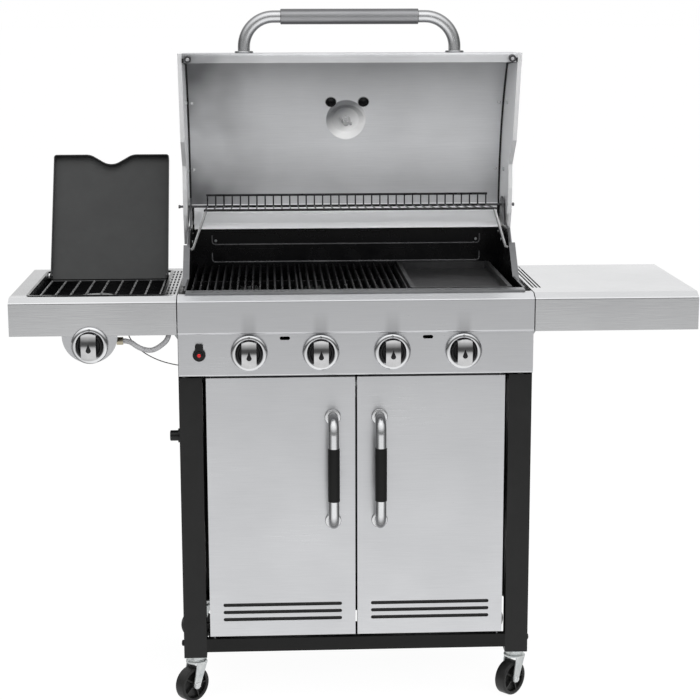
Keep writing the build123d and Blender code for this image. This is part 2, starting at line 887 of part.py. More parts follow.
for number, spot in enumerate(knob_spots, start=1):
    face = front_plane(*spot)
    with BuildPart() as knob:
        with BuildSketch(face.offset(knob_gap)):
            Circle(knob_diameter / 2)
        extrude(amount=knob_base)
        with BuildSketch(face.offset(knob_gap + knob_base)):
            Rectangle(lever_width, lever_length)
            Circle(lever_length / 2, mode=Mode.INTERSECT)
        extrude(amount=lever_height, taper=6)
        top_edges = knob.faces().sort_by(Axis.Y)[0].edges()
        fillet(top_edges, 2.5)
        with BuildSketch(face.offset(knob_gap + knob_base + lever_height)):
            with Locations((0, lever_length / 2 - mark_length / 2 - 5)):
                SlotOverall(mark_length, mark_width, rotation=90)
        extrude(amount=-mark_depth, mode=Mode.SUBTRACT)
        with BuildSketch(face):
            Circle(stem_diameter / 2 + pin_clearance)
        extrude(amount=knob_base + lever_height / 2, mode=Mode.SUBTRACT)
    save(knob, f"knob_{number}")

stem_reach = knob_base + lever_height / 2
with BuildPart() as gas_valves:
    for x, y, z in knob_spots:
        body_y = y + sheet + valve_set
        with BuildSketch(front_plane(x, body_y, z)):
            Circle(valve_diameter / 2)
        extrude(amount=-valve_length)
        with BuildSketch(front_plane(x, body_y, z)):
            Circle(stem_diameter / 2)
        extrude(amount=sheet + valve_set + stem_reach - slide_gap)
        with BuildSketch(front_plane(x, body_y + valve_length, z)):
            Circle(nozzle_diameter / 2)
        extrude(amount=-nozzle_length)
    with BuildSketch(Plane.XY.offset(manifold_z + manifold_diameter / 2 - 2)):
        with Locations([(x, manifold_y) for x in knob_places]):
            Circle(neck_diameter / 2)
    extrude(amount=manifold_drop - manifold_diameter / 2)
    with BuildSketch(Plane.YZ.offset(side_knob_x)):
        with Locations((manifold_y, side_inlet_z)):
            Circle(hose_diameter / 2)
    extrude(amount=side_inlet_x - side_knob_x)
    with BuildSketch(Plane.YZ.offset(side_inlet_x - side_nut_length)):
        with Locations((manifold_y, side_inlet_z)):
            RegularPolygon(side_nut, 6)
    extrude(amount=side_nut_length)
    with BuildSketch(front_plane(side_knob_x, fascia_face + sheet, side_knob_z)):
        Circle(stem_hole / 2 + 4)
        Circle(stem_diameter / 2, mode=Mode.SUBTRACT)
    extrude(amount=-valve_set)
save(gas_valves, "gas_valves")

# Manifold under the valves: it rises at the left end and turns down outside the panel for the side hose
with BuildPart() as gas_manifold:
    with BuildLine() as pipe:
        FilletPolyline(
            (manifold_half, manifold_y, manifold_z),
            (riser_x, manifold_y, manifold_z),
            (riser_x, manifold_y, feed_z),
            (feed_x, manifold_y, feed_z),
            (feed_x, manifold_y, feed_end),
            radius=pipe_bend,
        )
    with BuildSketch(pipe.line ^ 0):
        Circle(manifold_diameter / 2)
    sweep()
    with BuildSketch(Plane.XY.offset(manifold_z)):
        with Locations([(x, manifold_y) for x in knob_places]):
            Circle(neck_diameter / 2 + pin_clearance)
    extrude(amount=manifold_diameter, mode=Mode.SUBTRACT)
    with BuildSketch(Plane.YZ.offset(manifold_half)):
        with Locations((manifold_y, manifold_z)):
            Circle(inlet_diameter / 2)
    extrude(amount=inlet_length)
save(gas_manifold, "gas_manifold")

# Igniter: a keyhole plate with a module behind it, and a sprung button
igniter_x = -(half - igniter_side)
igniter_z = panel_bottom + igniter_rise
igniter_plane = front_plane(igniter_x, panel_face, igniter_z)
with BuildPart() as igniter_housing:
    with BuildSketch(igniter_plane):
        Circle(igniter_plate / 2)
        with Locations((0, (igniter_tall - igniter_plate) / 2)):
            RectangleRounded(igniter_neck, igniter_tall - 2, igniter_round)
    extrude(amount=igniter_thick)
    fillet(igniter_housing.faces().sort_by(Axis.Y)[0].edges(), 1.5)
    with BuildSketch(igniter_plane):
        Circle(button_diameter / 2 + igniter_collar)
    extrude(amount=-sheet)
    with BuildSketch(igniter_plane.offset(-sheet)):
        Rectangle(igniter_box, igniter_box)
    extrude(amount=-igniter_box_depth)
    with BuildSketch(igniter_plane.offset(igniter_thick)):
        Circle(button_diameter / 2 + pin_clearance)
    extrude(amount=-igniter_thick - sheet - button_travel, mode=Mode.SUBTRACT)
save(igniter_housing, "igniter_housing")

with BuildPart() as igniter_button:
    with BuildSketch(igniter_plane.offset(igniter_thick + button_proud)):
        Circle(button_diameter / 2)
    extrude(amount=-igniter_thick - button_proud - sheet)
    fillet(igniter_button.faces().sort_by(Axis.Y)[0].edges(), 1.2)
save(igniter_button, "igniter_button")

# Burner tubes from the valves to the back wall, with flame ports under each heat tent
burner_front = panel_face + sheet + valve_set + valve_length + nozzle_gap
with BuildPart() as main_burners:
    for x in knob_places:
        with BuildSketch(front_plane(x, burner_front, knob_z)):
            Circle(burner_diameter / 2)
        extrude(amount=-(box_back - sheet - burner_front))
        with BuildSketch(front_plane(x, burner_front, knob_z)):
            Circle(burner_diameter / 2 - burner_wall)
        extrude(amount=-(box_back - 2 * sheet - burner_front), mode=Mode.SUBTRACT)
save(main_burners, "main_burners")

# Heat tents: folded sheets that stand on the lower ledges
tent_foot = rim_top - tent_ledge_drop
with BuildPart() as heat_tents:
    for x in knob_places:
        with BuildSketch(front_plane(x, box_front + sheet + 0.5, tent_foot)):
            with BuildLine():
                FilletPolyline(
                    (-tent_width / 2, sheet / 2),
                    (-tent_width / 2 + 10, sheet / 2),
                    (0, tent_height),
                    (tent_width / 2 - 10, sheet / 2),
                    (tent_width / 2, sheet / 2),
                    radius=3,
                )
            trace(line_width=sheet)
        extrude(amount=-(box_depth - 2 * sheet - 1))
save(heat_tents, "heat_tents")

# Two cast grates on the upper ledges, and a griddle beside them
grate_foot = rim_top - grate_ledge_drop
grate_front = box_front + sheet + 2
grate_depth = box_depth - 2 * sheet - 4
grate_left = -box_half + grate_side
with BuildPart() as cooking_grates:
    for count in range(2):
        centre = grate_left + grate_width / 2 + count * (grate_width + grate_gap)
        with BuildSketch(Plane.XY.offset(grate_foot)):
            with Locations((centre, grate_front + grate_depth / 2)):
                pitch = (grate_width - grate_bar) / (grate_bar_count - 1)
                with GridLocations(pitch, 0, grate_bar_count, 1):
                    Rectangle(grate_bar, grate_depth)
                with GridLocations(0, grate_depth - grate_bar, 1, 2):
                    Rectangle(grate_width, grate_bar)
        extrude(amount=grate_height - grate_crown)
        with BuildSketch(Plane.XY.offset(grate_foot + grate_height - grate_crown)):
            with Locations((centre, grate_front + grate_depth / 2)):
                with GridLocations(pitch, 0, grate_bar_count, 1):
                    Rectangle(grate_bar, grate_depth)
        extrude(amount=grate_crown, taper=18)
        with BuildSketch(Plane.XY.offset(grate_foot)):
            with Locations((centre, grate_front + grate_depth / 2)):
                Rectangle(grate_width, grate_bar)
        extrude(amount=grate_height / 2)
save(cooking_grates, "cooking_grates")

griddle_left = grate_left + 2 * (grate_width + grate_gap)
griddle_width = box_half - griddle_side - griddle_left
griddle_x = griddle_left + griddle_width / 2
griddle_y = grate_front + grate_depth / 2
with BuildPart() as griddle:
    with BuildSketch(Plane.XY.offset(grate_foot)):
        with Locations((griddle_x, griddle_y)):
            RectangleRounded(griddle_width, grate_depth, griddle_round)
    extrude(amount=grate_height + griddle_lift)
    with BuildSketch(Plane.XY.offset(grate_foot + griddle_plate)):
        with Locations((griddle_x, griddle_y)):
            pan_width = griddle_width - 2 * griddle_rim
            RectangleRounded(pan_width, grate_depth - 2 * griddle_rim, griddle_round - 2)
    extrude(amount=grate_height, mode=Mode.SUBTRACT)
    with BuildSketch(Plane.XY.offset(grate_foot)):
        with Locations((griddle_x, griddle_y + grate_depth / 2 - griddle_rim - grease_slot_back)):
            SlotOverall(griddle_width / 2, grease_slot)
    extrude(amount=griddle_plate, mode=Mode.SUBTRACT)
save(griddle, "griddle")

# Warming rack: wires over two bars, a fence at the back, and feet against the end plates
rack_y = hinge_y - rack_ahead
rack_z = hinge_z + rack_rise
rear_bar_y = hinge_y - rod_diameter / 2 - rack_bar / 2 - slide_gap
foot_y = hinge_y - rack_foot_ahead
foot_z = hinge_z - rack_foot_drop
with BuildPart() as warming_rack:
    for y, z, size in (
        (rack_y, rack_z, rack_bar),
        (rear_bar_y, hinge_z, rack_bar),
        (rear_bar_y, hinge_z + fence_rise, rack_bar),
    ):
        with BuildSketch(Plane.YZ):
            with Locations((y, z)):
                RegularPolygon(size / 2, 8)
        extrude(amount=rack_half, both=True)
    wire_pitch = (2 * rack_half - rack_bar) / (rack_wire_count - 1)
    lean = Vector(0, rear_bar_y - rack_y, hinge_z - rack_z)
    with BuildSketch(Plane(origin=(0, rack_y, rack_z), x_dir=(1, 0, 0), z_dir=lean)):
        with GridLocations(wire_pitch, 0, rack_wire_count, 1):
            Rectangle(rack_wire, rack_wire)
    extrude(amount=lean.length)
    with BuildSketch(Plane(origin=(0, rear_bar_y, hinge_z))):
        with GridLocations(wire_pitch, 0, rack_wire_count, 1):
            Rectangle(rack_wire, rack_wire)
    extrude(amount=fence_rise)
    for side in (-1, 1):
        start = Vector(side * (rack_half - rack_bar), rack_y, rack_z)
        leg = Vector(side * (box_half - rack_bar), foot_y, foot_z) - start
        with BuildSketch(Plane(origin=start, z_dir=leg)):
            RegularPolygon(rack_bar / 2, 8)
        extrude(amount=leg.length)
        with BuildSketch(Plane.YZ.offset(side * box_half)):
            with Locations((foot_y, foot_z)):
                RegularPolygon(rack_bar / 2, 8)
        extrude(amount=-side * 2 * rack_bar)
save(warming_rack, "warming_rack")

# Lid shell: one rolled sheet with a lip flange, a drawn seat for the gauge and notches round the ears
gauge_seat = lid_normal_plane(roof_arc @ gauge_place, roof_arc % gauge_place)
with BuildPart() as lid_shell:
    with BuildSketch(lid_plane):
        with BuildLine() as skin:
            Line(lip + Vector(lip_flange, 0), lip)
            Line(lip, face_top)
            ThreePointArc(face_top, roof_mid, roof_end)
            Line(roof_end, rear_edge)
            fillet(skin.vertices().sort_by_distance(face_top)[0], face_bend)
            fillet(skin.vertices().sort_by_distance(roof_end)[0], roof_bend)
            fillet(skin.vertices().sort_by_distance(lip)[0], 2 * lid_sheet)
        trace(line_width=lid_sheet)
    extrude(amount=lid_half, both=True)
    for side in (-1, 1):
        with BuildSketch(lid_plane.offset(side * lid_half)):
            Circle(ear_notch)
        extrude(amount=-side * ear_notch_width, mode=Mode.SUBTRACT)
    with BuildSketch(gauge_seat.offset(-lid_sheet)):
        Circle(dish_diameter / 2)
    extrude(amount=dish_height + lid_sheet, taper=45)
    with BuildSketch(gauge_seat.offset(-2 * lid_sheet)):
        Circle(dish_diameter / 2)
    extrude(amount=dish_height + lid_sheet, taper=45, mode=Mode.SUBTRACT)
    with BuildSketch(gauge_seat):
        Circle(gauge_stem / 2 + 0.5)
    extrude(amount=2 * dish_height, mode=Mode.SUBTRACT)
save(lid_shell, "lid_shell")

# Lid end panels: plates with an outward rim, turning on the hinge rod
end_outline = [
    lip + Vector(0, -lid_sheet / 2),
    Vector(-side_slope_ahead, -side_slope_drop),
    Vector(-side_arch_ahead, -side_arch_drop),
    Vector(-side_tail_ahead, -side_tail_drop),
    Vector(side_tail_back, -side_tail_drop),
    Vector(rear_edge_back + lid_sheet, side_tail_rise - side_tail_drop),
    rear_edge,
]
with BuildPart() as lid_end_panels:
    for side in (-1, 1):
        for start, depth, grow, mode in (
            (0, lid_side_plate + lid_side_rim, lid_sheet / 2, Mode.ADD),
            (lid_side_plate, lid_side_rim, lid_sheet / 2 - lid_side_plate, Mode.SUBTRACT),
        ):
            with BuildSketch(lid_plane.offset(side * (lid_half + start))):
                with BuildLine() as edge:
                    Line(end_outline[0], face_top)
                    ThreePointArc(face_top, roof_mid, roof_end)
                    Line(roof_end, rear_edge)
                    Polyline(*end_outline[::-1])
                    fillet(edge.vertices().sort_by_distance(face_top)[0], face_bend)
                    fillet(edge.vertices().sort_by_distance(roof_end)[0], roof_bend)
                make_face()
                offset(amount=grow, kind=Kind.INTERSECTION)
            extrude(amount=side * depth, mode=mode)
        with BuildSketch(lid_plane.offset(side * lid_half)):
            Circle(rod_diameter / 2 + pin_clearance)
        extrude(amount=side * lid_side_plate, mode=Mode.SUBTRACT)
save(lid_end_panels, "lid_end_panels")

# Lid handle on the front face, with its grip, and bumpers under the lip
face_way = (face_top - lip).normalized()
skin_out = Vector(-face_way.Y, face_way.X) * (lid_sheet / 2)
handle_seat = lid_normal_plane(lip + face_way * lid_handle_up + skin_out, face_way)
lid_handle = bent_handle(
    handle_seat, lid_handle_span, lid_handle_reach, lid_handle_bend, lid_tube, lid_rosette
)
save(lid_handle, "lid_handle")
bar_place = handle_seat.origin + handle_seat.z_dir * lid_handle_reach
lid_bar = Plane(origin=bar_place, x_dir=(0, 1, 0), z_dir=(1, 0, 0))
lid_sleeve = sleeve(lid_bar, lid_grip_length, lid_tube + 2 * pin_clearance, lid_grip)
save(lid_sleeve, "lid_handle_grip")

with BuildPart() as lid_bumpers:
    for side in (-1, 1):
        seat = lid_point(side * (lid_half - bumper_side), lip + Vector(lip_flange / 2, -lid_sheet / 2))
        with BuildSketch(Plane(origin=seat, x_dir=(1, 0, 0), z_dir=-lid_plane.y_dir)):
            Circle(bumper_diameter / 2)
        extrude(amount=bumper_height, taper=8)
save(lid_bumpers, "lid_bumpers")

# Heat gauge: a cup on the drawn seat with a stem through the skin, a lens, and a pointer on a spindle
gauge_base = gauge_seat.offset(dish_height)
with BuildPart() as gauge_housing:
    with BuildSketch(gauge_base):
        Circle(gauge_diameter / 2)
    extrude(amount=gauge_height)
    fillet(gauge_housing.edges().filter_by(GeomType.CIRCLE), 2)
    with BuildSketch(gauge_base.offset(gauge_floor)):
        Circle(gauge_diameter / 2 - gauge_wall)
    extrude(amount=gauge_height, mode=Mode.SUBTRACT)
    with BuildSketch(gauge_base):
        Circle(gauge_stem / 2)
    extrude(amount=-gauge_stem_length)
    with BuildSketch(gauge_base.offset(-lid_sheet - nut_collar)):
        SlotOverall(wing_span, wing_width, rotation=wing_turn)
    extrude(amount=-wing_depth)
    with BuildSketch(gauge_base.offset(-lid_sheet)):
        Circle(gauge_stem / 2 + nut_collar)
    extrude(amount=-nut_collar)
    with BuildSketch(gauge_base.offset(gauge_floor)):
        Circle(spindle_diameter / 2)
    extrude(amount=spindle_length)
save(gauge_housing, "gauge_housing")

with BuildPart() as gauge_lens:
    with BuildSketch(gauge_base.offset(gauge_height - lens_thick - 1)):
        Circle(gauge_diameter / 2 - gauge_wall)
    extrude(amount=lens_thick)
save(gauge_lens, "gauge_lens")

with BuildPart() as gauge_pointer:
    with BuildSketch(gauge_base.offset(gauge_floor + pointer_lift)):
        Circle(spindle_diameter / 2 + pointer_eye)
        with Locations(Rotation(0, 0, pointer_turn)):
            with Locations((pointer_length / 2, 0)):
                Rectangle(pointer_length, pointer_width)
        Circle(spindle_diameter / 2 + pin_clearance, mode=Mode.SUBTRACT)
    extrude(amount=pointer_thick)
save(gauge_pointer, "gauge_pointer")


# Side shelves: folded sheet with a deep fascia in front, a bevel and two end walls
def shelf(side, name):
    outline = [
        (fascia_face + sheet / 2, fascia_top),
        (bevel_back, panel_top - sheet / 2),
        (shelf_back - sheet / 2, panel_top - sheet / 2),
    ]
    with BuildPart() as table:
        with BuildSketch(Plane.YZ.offset(side * half)):
            with BuildLine():
                FilletPolyline(
                    (fascia_face + sheet / 2, crease),
                    *outline,
                    (shelf_back - sheet / 2, panel_top - shelf_back_drop),
                    radius=panel_bend,
                )
            trace(line_width=sheet)
        extrude(amount=side * shelf_length)
        for wall in (side * half, side * (shelf_end - sheet)):
            with BuildSketch(Plane.YZ.offset(wall)):
                with BuildLine():
                    Polyline(
                        (fascia_face + sheet / 2, crease),
                        *outline,
                        (shelf_back - sheet / 2, panel_top - shelf_back_drop),
                        (shelf_back / 2, crease),
                        close=True,
                    )
                make_face()
                if side < 0:
                    with Locations((manifold_y, feed_z)):
                        Circle(manifold_diameter / 2 + 1, mode=Mode.SUBTRACT)
            extrude(amount=side * sheet)
        with BuildSketch(Plane.XY.offset(panel_top - sheet)):
            if side < 0:
                with Locations((recess_mid_x, recess_mid_y)):
                    RectangleRounded(recess_length, recess_depth, recess_round)
                with Locations((-(half + sheet + recess_in - pan_rim) / 2, recess_mid_y)):
                    with GridLocations(2 * slot_width, short_slot_pitch, slot_count, short_slot_count):
                        SlotOverall(short_slot, slot_width, rotation=90)
            else:
                with Locations((half + 4 * slot_width, middle)):
                    with GridLocations(2 * slot_width, 0, slot_count, 1):
                        SlotOverall(slot_length, slot_width, rotation=90)
        extrude(amount=sheet, mode=Mode.SUBTRACT)
    save(table, name)


shelf(-1, "left_shelf")
shelf(1, "right_shelf")

with BuildPart() as shelf_brackets:
    for side in (-1, 1):
        for y in (front + bracket_front, back - bracket_back):
            with BuildSketch(Plane.XZ.offset(-y)):
                with BuildLine():
                    Polyline(
                        (side * half, crease),
                        (side * (half + bracket_width), crease),
                        (side * half, crease - bracket_height),
                        close=True,
                    )
                make_face()
            extrude(amount=-bracket_thick)
save(shelf_brackets, "shelf_brackets")

# Knob bracket: a half-round plate under the left fascia, with a tongue behind it
with BuildPart() as side_knob_bracket:
    with BuildSketch(front_plane(side_knob_x, fascia_face, side_knob_z)):
        with Locations((0, side_knob_drop)):
            Circle(bracket_radius)
        with Locations((0, side_knob_drop + bracket_radius)):
            Rectangle(3 * bracket_radius, 2 * bracket_radius, mode=Mode.SUBTRACT)
        Circle(stem_hole / 2, mode=Mode.SUBTRACT)
    extrude(amount=-sheet)
    with BuildSketch(front_plane(side_knob_x, fascia_face + sheet, crease)):
        with Locations((0, tongue_height / 2 - 6)):
            Rectangle(tongue_width, tongue_height + 12)
        with Locations((0, -side_knob_drop)):
            Circle(stem_hole / 2 + 4.5, mode=Mode.SUBTRACT)
    extrude(amount=-sheet)
save(side_knob_bracket, "side_knob_bracket")

# Side burner pan: a drawn tray whose rim lies on the shelf
pan_floor = panel_top - pan_depth
electrode_x = -(half + electrode_side)
electrode_y = front + electrode_back
electrode_z = pan_floor - electrode_drop
with BuildPart() as side_burner_pan:
    with BuildSketch(Plane.XY.offset(panel_top)):
        with Locations((recess_mid_x, recess_mid_y)):
            RectangleRounded(recess_length + 2 * pan_rim, recess_depth + 2 * pan_rim, recess_round + 2)
    extrude(amount=pan_sheet)
    with BuildSketch(Plane.XY.offset(pan_floor)):
        with Locations((recess_mid_x, recess_mid_y)):
            RectangleRounded(recess_length - pan_play, recess_depth - pan_play, recess_round - pan_play)
    extrude(amount=pan_depth)
    with BuildSketch(Plane.XY.offset(pan_floor + pan_sheet)):
        with Locations((recess_mid_x, recess_mid_y)):
            RectangleRounded(recess_length - 2 * pan_sheet, recess_depth - 2 * pan_sheet, recess_round - 2)
    extrude(amount=pan_depth, mode=Mode.SUBTRACT)
    with BuildSketch(Plane.XY.offset(pan_floor)):
        with Locations((side_knob_x, front + side_head_back)):
            Circle(side_tube / 2 + 1)
    extrude(amount=pan_sheet, mode=Mode.SUBTRACT)
    with BuildSketch(Plane.XY.offset(electrode_z)):
        with Locations((electrode_x, electrode_y)):
            Circle(electrode_diameter / 2)
    extrude(amount=electrode_length)
save(side_burner_pan, "side_burner_pan")

# Side burner: an elbow tube from the valve up to a round head
with BuildPart() as side_burner:
    with BuildLine() as elbow:
        FilletPolyline(
            (side_knob_x, burner_front + fascia_face - panel_face, side_knob_z),
            (side_knob_x, front + side_head_back, side_knob_z),
            (side_knob_x, front + side_head_back, pan_floor + pan_sheet + 2),
            radius=elbow_bend,
        )
    with BuildSketch(elbow.line ^ 0):
        Circle(side_tube / 2)
        Circle(side_tube / 2 - burner_wall, mode=Mode.SUBTRACT)
    sweep()
    with BuildSketch(Plane.XY.offset(pan_floor + pan_sheet)):
        with Locations((side_knob_x, front + side_head_back)):
            Circle(side_head_diameter / 2)
    extrude(amount=side_head_height, taper=12)
save(side_burner, "side_burner")

# Side grate: a frame of wires on four legs, standing on the pan's floor
trivet_z = panel_top - trivet_drop
with BuildPart() as side_burner_grate:
    length = recess_length - 2 * trivet_gap
    depth = recess_depth - 2 * trivet_gap - trivet_back_gap
    trivet_y = recess_mid_y - trivet_back_gap / 2
    with BuildSketch(Plane.XY.offset(trivet_z - trivet_wire)):
        with Locations((recess_mid_x, trivet_y)):
            with GridLocations((length - trivet_wire) / (trivet_wires - 1), 0, trivet_wires, 1):
                Rectangle(trivet_wire, depth)
            with GridLocations(0, (depth - trivet_wire) / (trivet_bars - 1), 1, trivet_bars):
                Rectangle(length, trivet_wire)
    extrude(amount=trivet_wire)
    with BuildSketch(Plane.XY.offset(pan_floor + pan_sheet)):
        with Locations((recess_mid_x, trivet_y)):
            with GridLocations(length - trivet_wire, depth - trivet_wire, 2, 2):
                Rectangle(trivet_wire, trivet_wire)
    extrude(amount=trivet_z - trivet_wire - pan_floor - pan_sheet)
save(side_burner_grate, "side_burner_grate")

# Side burner's lid: a folded plate with a lip and a finger notch along its free edge, turning on two pins
side_turn = radians(side_lid_open_angle)
side_lid_plane = Plane(
    origin=(recess_mid_x, side_hinge_y, side_hinge_z),
    x_dir=(0, cos(side_turn), -sin(side_turn)),
    z_dir=(1, 0, 0),
)
plate_plane = Plane(origin=side_lid_plane.origin, x_dir=(1, 0, 0), z_dir=side_lid_plane.y_dir)
with BuildPart() as side_burner_lid:
    notch_y = side_lid_tail - side_lid_length
    with BuildSketch(plate_plane.offset(side_lid_rise)) as lid_plate:
        with Locations((0, side_lid_tail - side_lid_length / 2)):
            RectangleRounded(side_lid_width, side_lid_length, side_lid_round)
        with BuildLine():
            Polyline(
                (-notch_width / 2, notch_y - 1),
                (0, notch_y + notch_depth),
                (notch_width / 2, notch_y - 1),
                close=True,
            )
        make_face(mode=Mode.SUBTRACT)
        fillet([corner for corner in lid_plate.vertices() if abs(corner.X) < notch_width / 2], notch_round)
    extrude(amount=sheet)
    with BuildSketch(plate_plane.offset(side_lid_rise)):
        add(lid_plate.sketch_local)
        offset(amount=-sheet, mode=Mode.SUBTRACT)
        with Locations((0, notch_y + notch_depth + lip_reach + side_lid_length / 2)):
            Rectangle(2 * side_lid_width, side_lid_length, mode=Mode.SUBTRACT)
    extrude(amount=sheet - side_lid_flange)
    for side in (-1, 1):
        with BuildSketch(side_lid_plane.offset(side * side_lid_width / 2)):
            flange_length = side_lid_length - flange_short
            with Locations((-flange_length / 2, side_lid_rise - side_lid_flange / 2 + sheet)):
                Rectangle(flange_length, side_lid_flange)
            Circle(side_lid_rise)
            Circle(side_pin_diameter / 2 + pin_clearance, mode=Mode.SUBTRACT)
        extrude(amount=-side * sheet)
save(side_burner_lid, "side_burner_lid")

# Hose from the manifold to the side valve, and the wire from the igniter to the side burner
hose_route = [
    (side_inlet_x, manifold_y, side_inlet_z),
    (side_inlet_x + 12, manifold_y, side_inlet_z),
    (feed_x - 59, manifold_y, side_inlet_z - 14),
    (feed_x - 36, manifold_y, side_inlet_z - 21),
    (feed_x - 17, manifold_y, side_inlet_z - 12),
    (feed_x, manifold_y, feed_end - 14),
    (feed_x, manifold_y, feed_end),
]
wire_route = [
    (electrode_x, electrode_y, electrode_z),
    (electrode_x, electrode_y, electrode_z - 12),
    (electrode_x + 2, wire_y + 13, electrode_z - 21),
    (electrode_x + 6, wire_y + 8, electrode_z - 30),
    (electrode_x + 14, wire_y + 3, electrode_z - 41),
    (electrode_x + 28, wire_y, electrode_z - 55),
    (electrode_x + 46, wire_y, electrode_z - 67),
    (igniter_x - 74, wire_y, wire_hole_z + 9),
    (igniter_x - 52, wire_y, wire_hole_z + 3),
    (igniter_x - 34, wire_y, wire_hole_z),
    (igniter_x - 18, wire_y, wire_hole_z + 0.5),
    (igniter_x - 6, wire_y, wire_hole_z + 6),
    (igniter_x, wire_y, igniter_z - igniter_box / 2),
]


def cord(name, route, diameter):
    """Tube along a hand-laid route, with each bend as large as its runs allow."""
    points = [Vector(*point) for point in route]
    radii = []
    for before, corner, after in zip(points, points[1:], points[2:]):
        turn = (corner - before).get_angle(after - corner)
        shorter = min((corner - before).length, (after - corner).length)
        radii.append(0.45 * shorter / tan(radians(turn / 2)))
    with BuildPart() as tube:
        with BuildLine() as path:
            FilletPolyline(*points, radius=radii)
        with BuildSketch(path.line ^ 0):
            Circle(diameter / 2)
        sweep()
    length = path.wires()[0].length
    expected = length * pi * diameter**2 / 4
    print(name, "radii", [round(radius) for radius in radii])
    print(name, "length", round(length), "volume ratio", round(tube.part.volume / expected, 3))
    save(tube, name)


cord("side_hose", hose_route, hose_diameter)
cord("ignition_wire", wire_route, wire_diameter)

# Grease tray: a shallow pan whose lips run on the rails under the fire box
tray_top = floor_bottom - runner_drop + sheet + slide_gap + sheet
with BuildPart() as grease_tray:
    with BuildSketch(Plane.XY.offset(tray_top - sheet)):
        with Locations((0, floor_mid)):
            Rectangle(tray_width + 2 * tray_lip, tray_depth)
    extrude(amount=sheet)
    with BuildSketch(Plane.XY.offset(tray_top - tray_height)):
        with Locations((0, floor_mid)):
            Rectangle(tray_width - 2 * tray_lip, tray_depth)
    extrude(amount=tray_height)
    with BuildSketch(Plane.XY.offset(tray_top - tray_height + sheet)):
        with Locations((0, floor_mid)):
            Rectangle(tray_width - 2 * tray_lip - 2 * sheet, tray_depth - 2 * sheet)
    extrude(amount=tray_height, mode=Mode.SUBTRACT)
save(grease_tray, "grease_tray")
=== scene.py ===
"""Gas barbecue grill: finishes, fittings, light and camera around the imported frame. Metres."""

import json
import math

import bpy
from mathutils import Matrix, Vector


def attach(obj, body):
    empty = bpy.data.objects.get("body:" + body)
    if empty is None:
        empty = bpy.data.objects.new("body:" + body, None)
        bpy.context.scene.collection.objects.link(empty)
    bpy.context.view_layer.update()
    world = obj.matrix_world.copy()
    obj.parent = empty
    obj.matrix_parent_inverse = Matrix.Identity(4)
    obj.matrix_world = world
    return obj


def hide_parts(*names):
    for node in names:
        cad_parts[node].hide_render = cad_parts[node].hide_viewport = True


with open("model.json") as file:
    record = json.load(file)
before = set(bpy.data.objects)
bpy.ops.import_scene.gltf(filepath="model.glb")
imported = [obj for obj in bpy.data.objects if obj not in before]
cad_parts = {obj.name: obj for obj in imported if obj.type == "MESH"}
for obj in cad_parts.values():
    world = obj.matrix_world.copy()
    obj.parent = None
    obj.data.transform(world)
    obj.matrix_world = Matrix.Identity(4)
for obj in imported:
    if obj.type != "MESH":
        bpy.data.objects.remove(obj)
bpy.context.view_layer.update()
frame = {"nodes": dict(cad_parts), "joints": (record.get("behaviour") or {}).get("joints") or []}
cad = frame["nodes"]
joints = {joint["name"]: joint for joint in frame["joints"]}
scene = bpy.context.scene


# Places in the frame
def joint_place(name):
    return Vector(joints[name]["pos_m"])


def box_ends(node):
    """Lowest and highest corner of a solid's box."""
    box = cad[node].bound_box
    return Vector(box[0]), Vector(box[6])


corners = ("front_left", "front_right", "rear_left", "rear_right")
sides = ((-1, "left"), (1, "right"))
knob_rows = [joint_place(f"knob_{number}_turn") for number in range(1, 6)]
knob_pitch = knob_rows[1].x - knob_rows[0].x
gauge_base = joint_place("gauge_pointer_turn")
gauge_axis = -Vector(joints["gauge_pointer_turn"]["axis"])

# Camera at the photograph's viewing angle
camera_place = Vector((-0.1707, -3.476, 1.3479))
camera_pitch = math.radians(10.79)
camera_yaw = math.radians(2.77)
camera_roll = math.radians(-0.137)
camera_data = bpy.data.cameras.new("camera")
camera_data.lens = 88.37
camera_data.sensor_width = 36.0
camera_data.sensor_fit = "HORIZONTAL"
camera = bpy.data.objects.new("camera", camera_data)
scene.collection.objects.link(camera)
tilt = Matrix.Rotation(math.pi / 2 - camera_pitch, 4, "X")
turn = Matrix.Rotation(-camera_yaw, 4, "Z") @ tilt @ Matrix.Rotation(camera_roll, 4, "Z")
camera.matrix_world = Matrix.Translation(camera_place) @ turn
scene.camera = camera
scene.view_settings.view_transform = "Standard"


# Finishes: shared effects first
def new_group(name, inputs, outputs):
    """Empty effect group with its named sockets, and its two end nodes."""
    group = bpy.data.node_groups.new(name, "ShaderNodeTree")
    for socket, kind, value in inputs:
        made = group.interface.new_socket(socket, in_out="INPUT", socket_type=kind)
        made.default_value = value
    for socket, kind in outputs:
        group.interface.new_socket(socket, in_out="OUTPUT", socket_type=kind)
    return group, group.nodes.new("NodeGroupInput"), group.nodes.new("NodeGroupOutput")


def put(tree, socket, value):
    """Link a socket to another one, or set it to a plain value."""
    if isinstance(value, bpy.types.NodeSocket):
        tree.links.new(value, socket)
    else:
        socket.default_value = value


def feed(tree, node, **values):
    """Link or set a node's sockets of the same names."""
    for name, value in values.items():
        put(tree, node.inputs[name.replace("_", " ")], value)


def noise(tree, vector, scale, detail, roughness=0.5):
    node = tree.nodes.new("ShaderNodeTexNoise")
    feed(tree, node, Vector=vector, Scale=scale, Detail=detail, Roughness=roughness)
    return node.outputs["Fac"]


def spread(tree, value, low, high, to_low, to_high):
    """Stretch a value from one range to another, clamped."""
    node = tree.nodes.new("ShaderNodeMapRange")
    feed(tree, node, Value=value, From_Min=low, From_Max=high, To_Min=to_low, To_Max=to_high)
    return node.outputs["Result"]


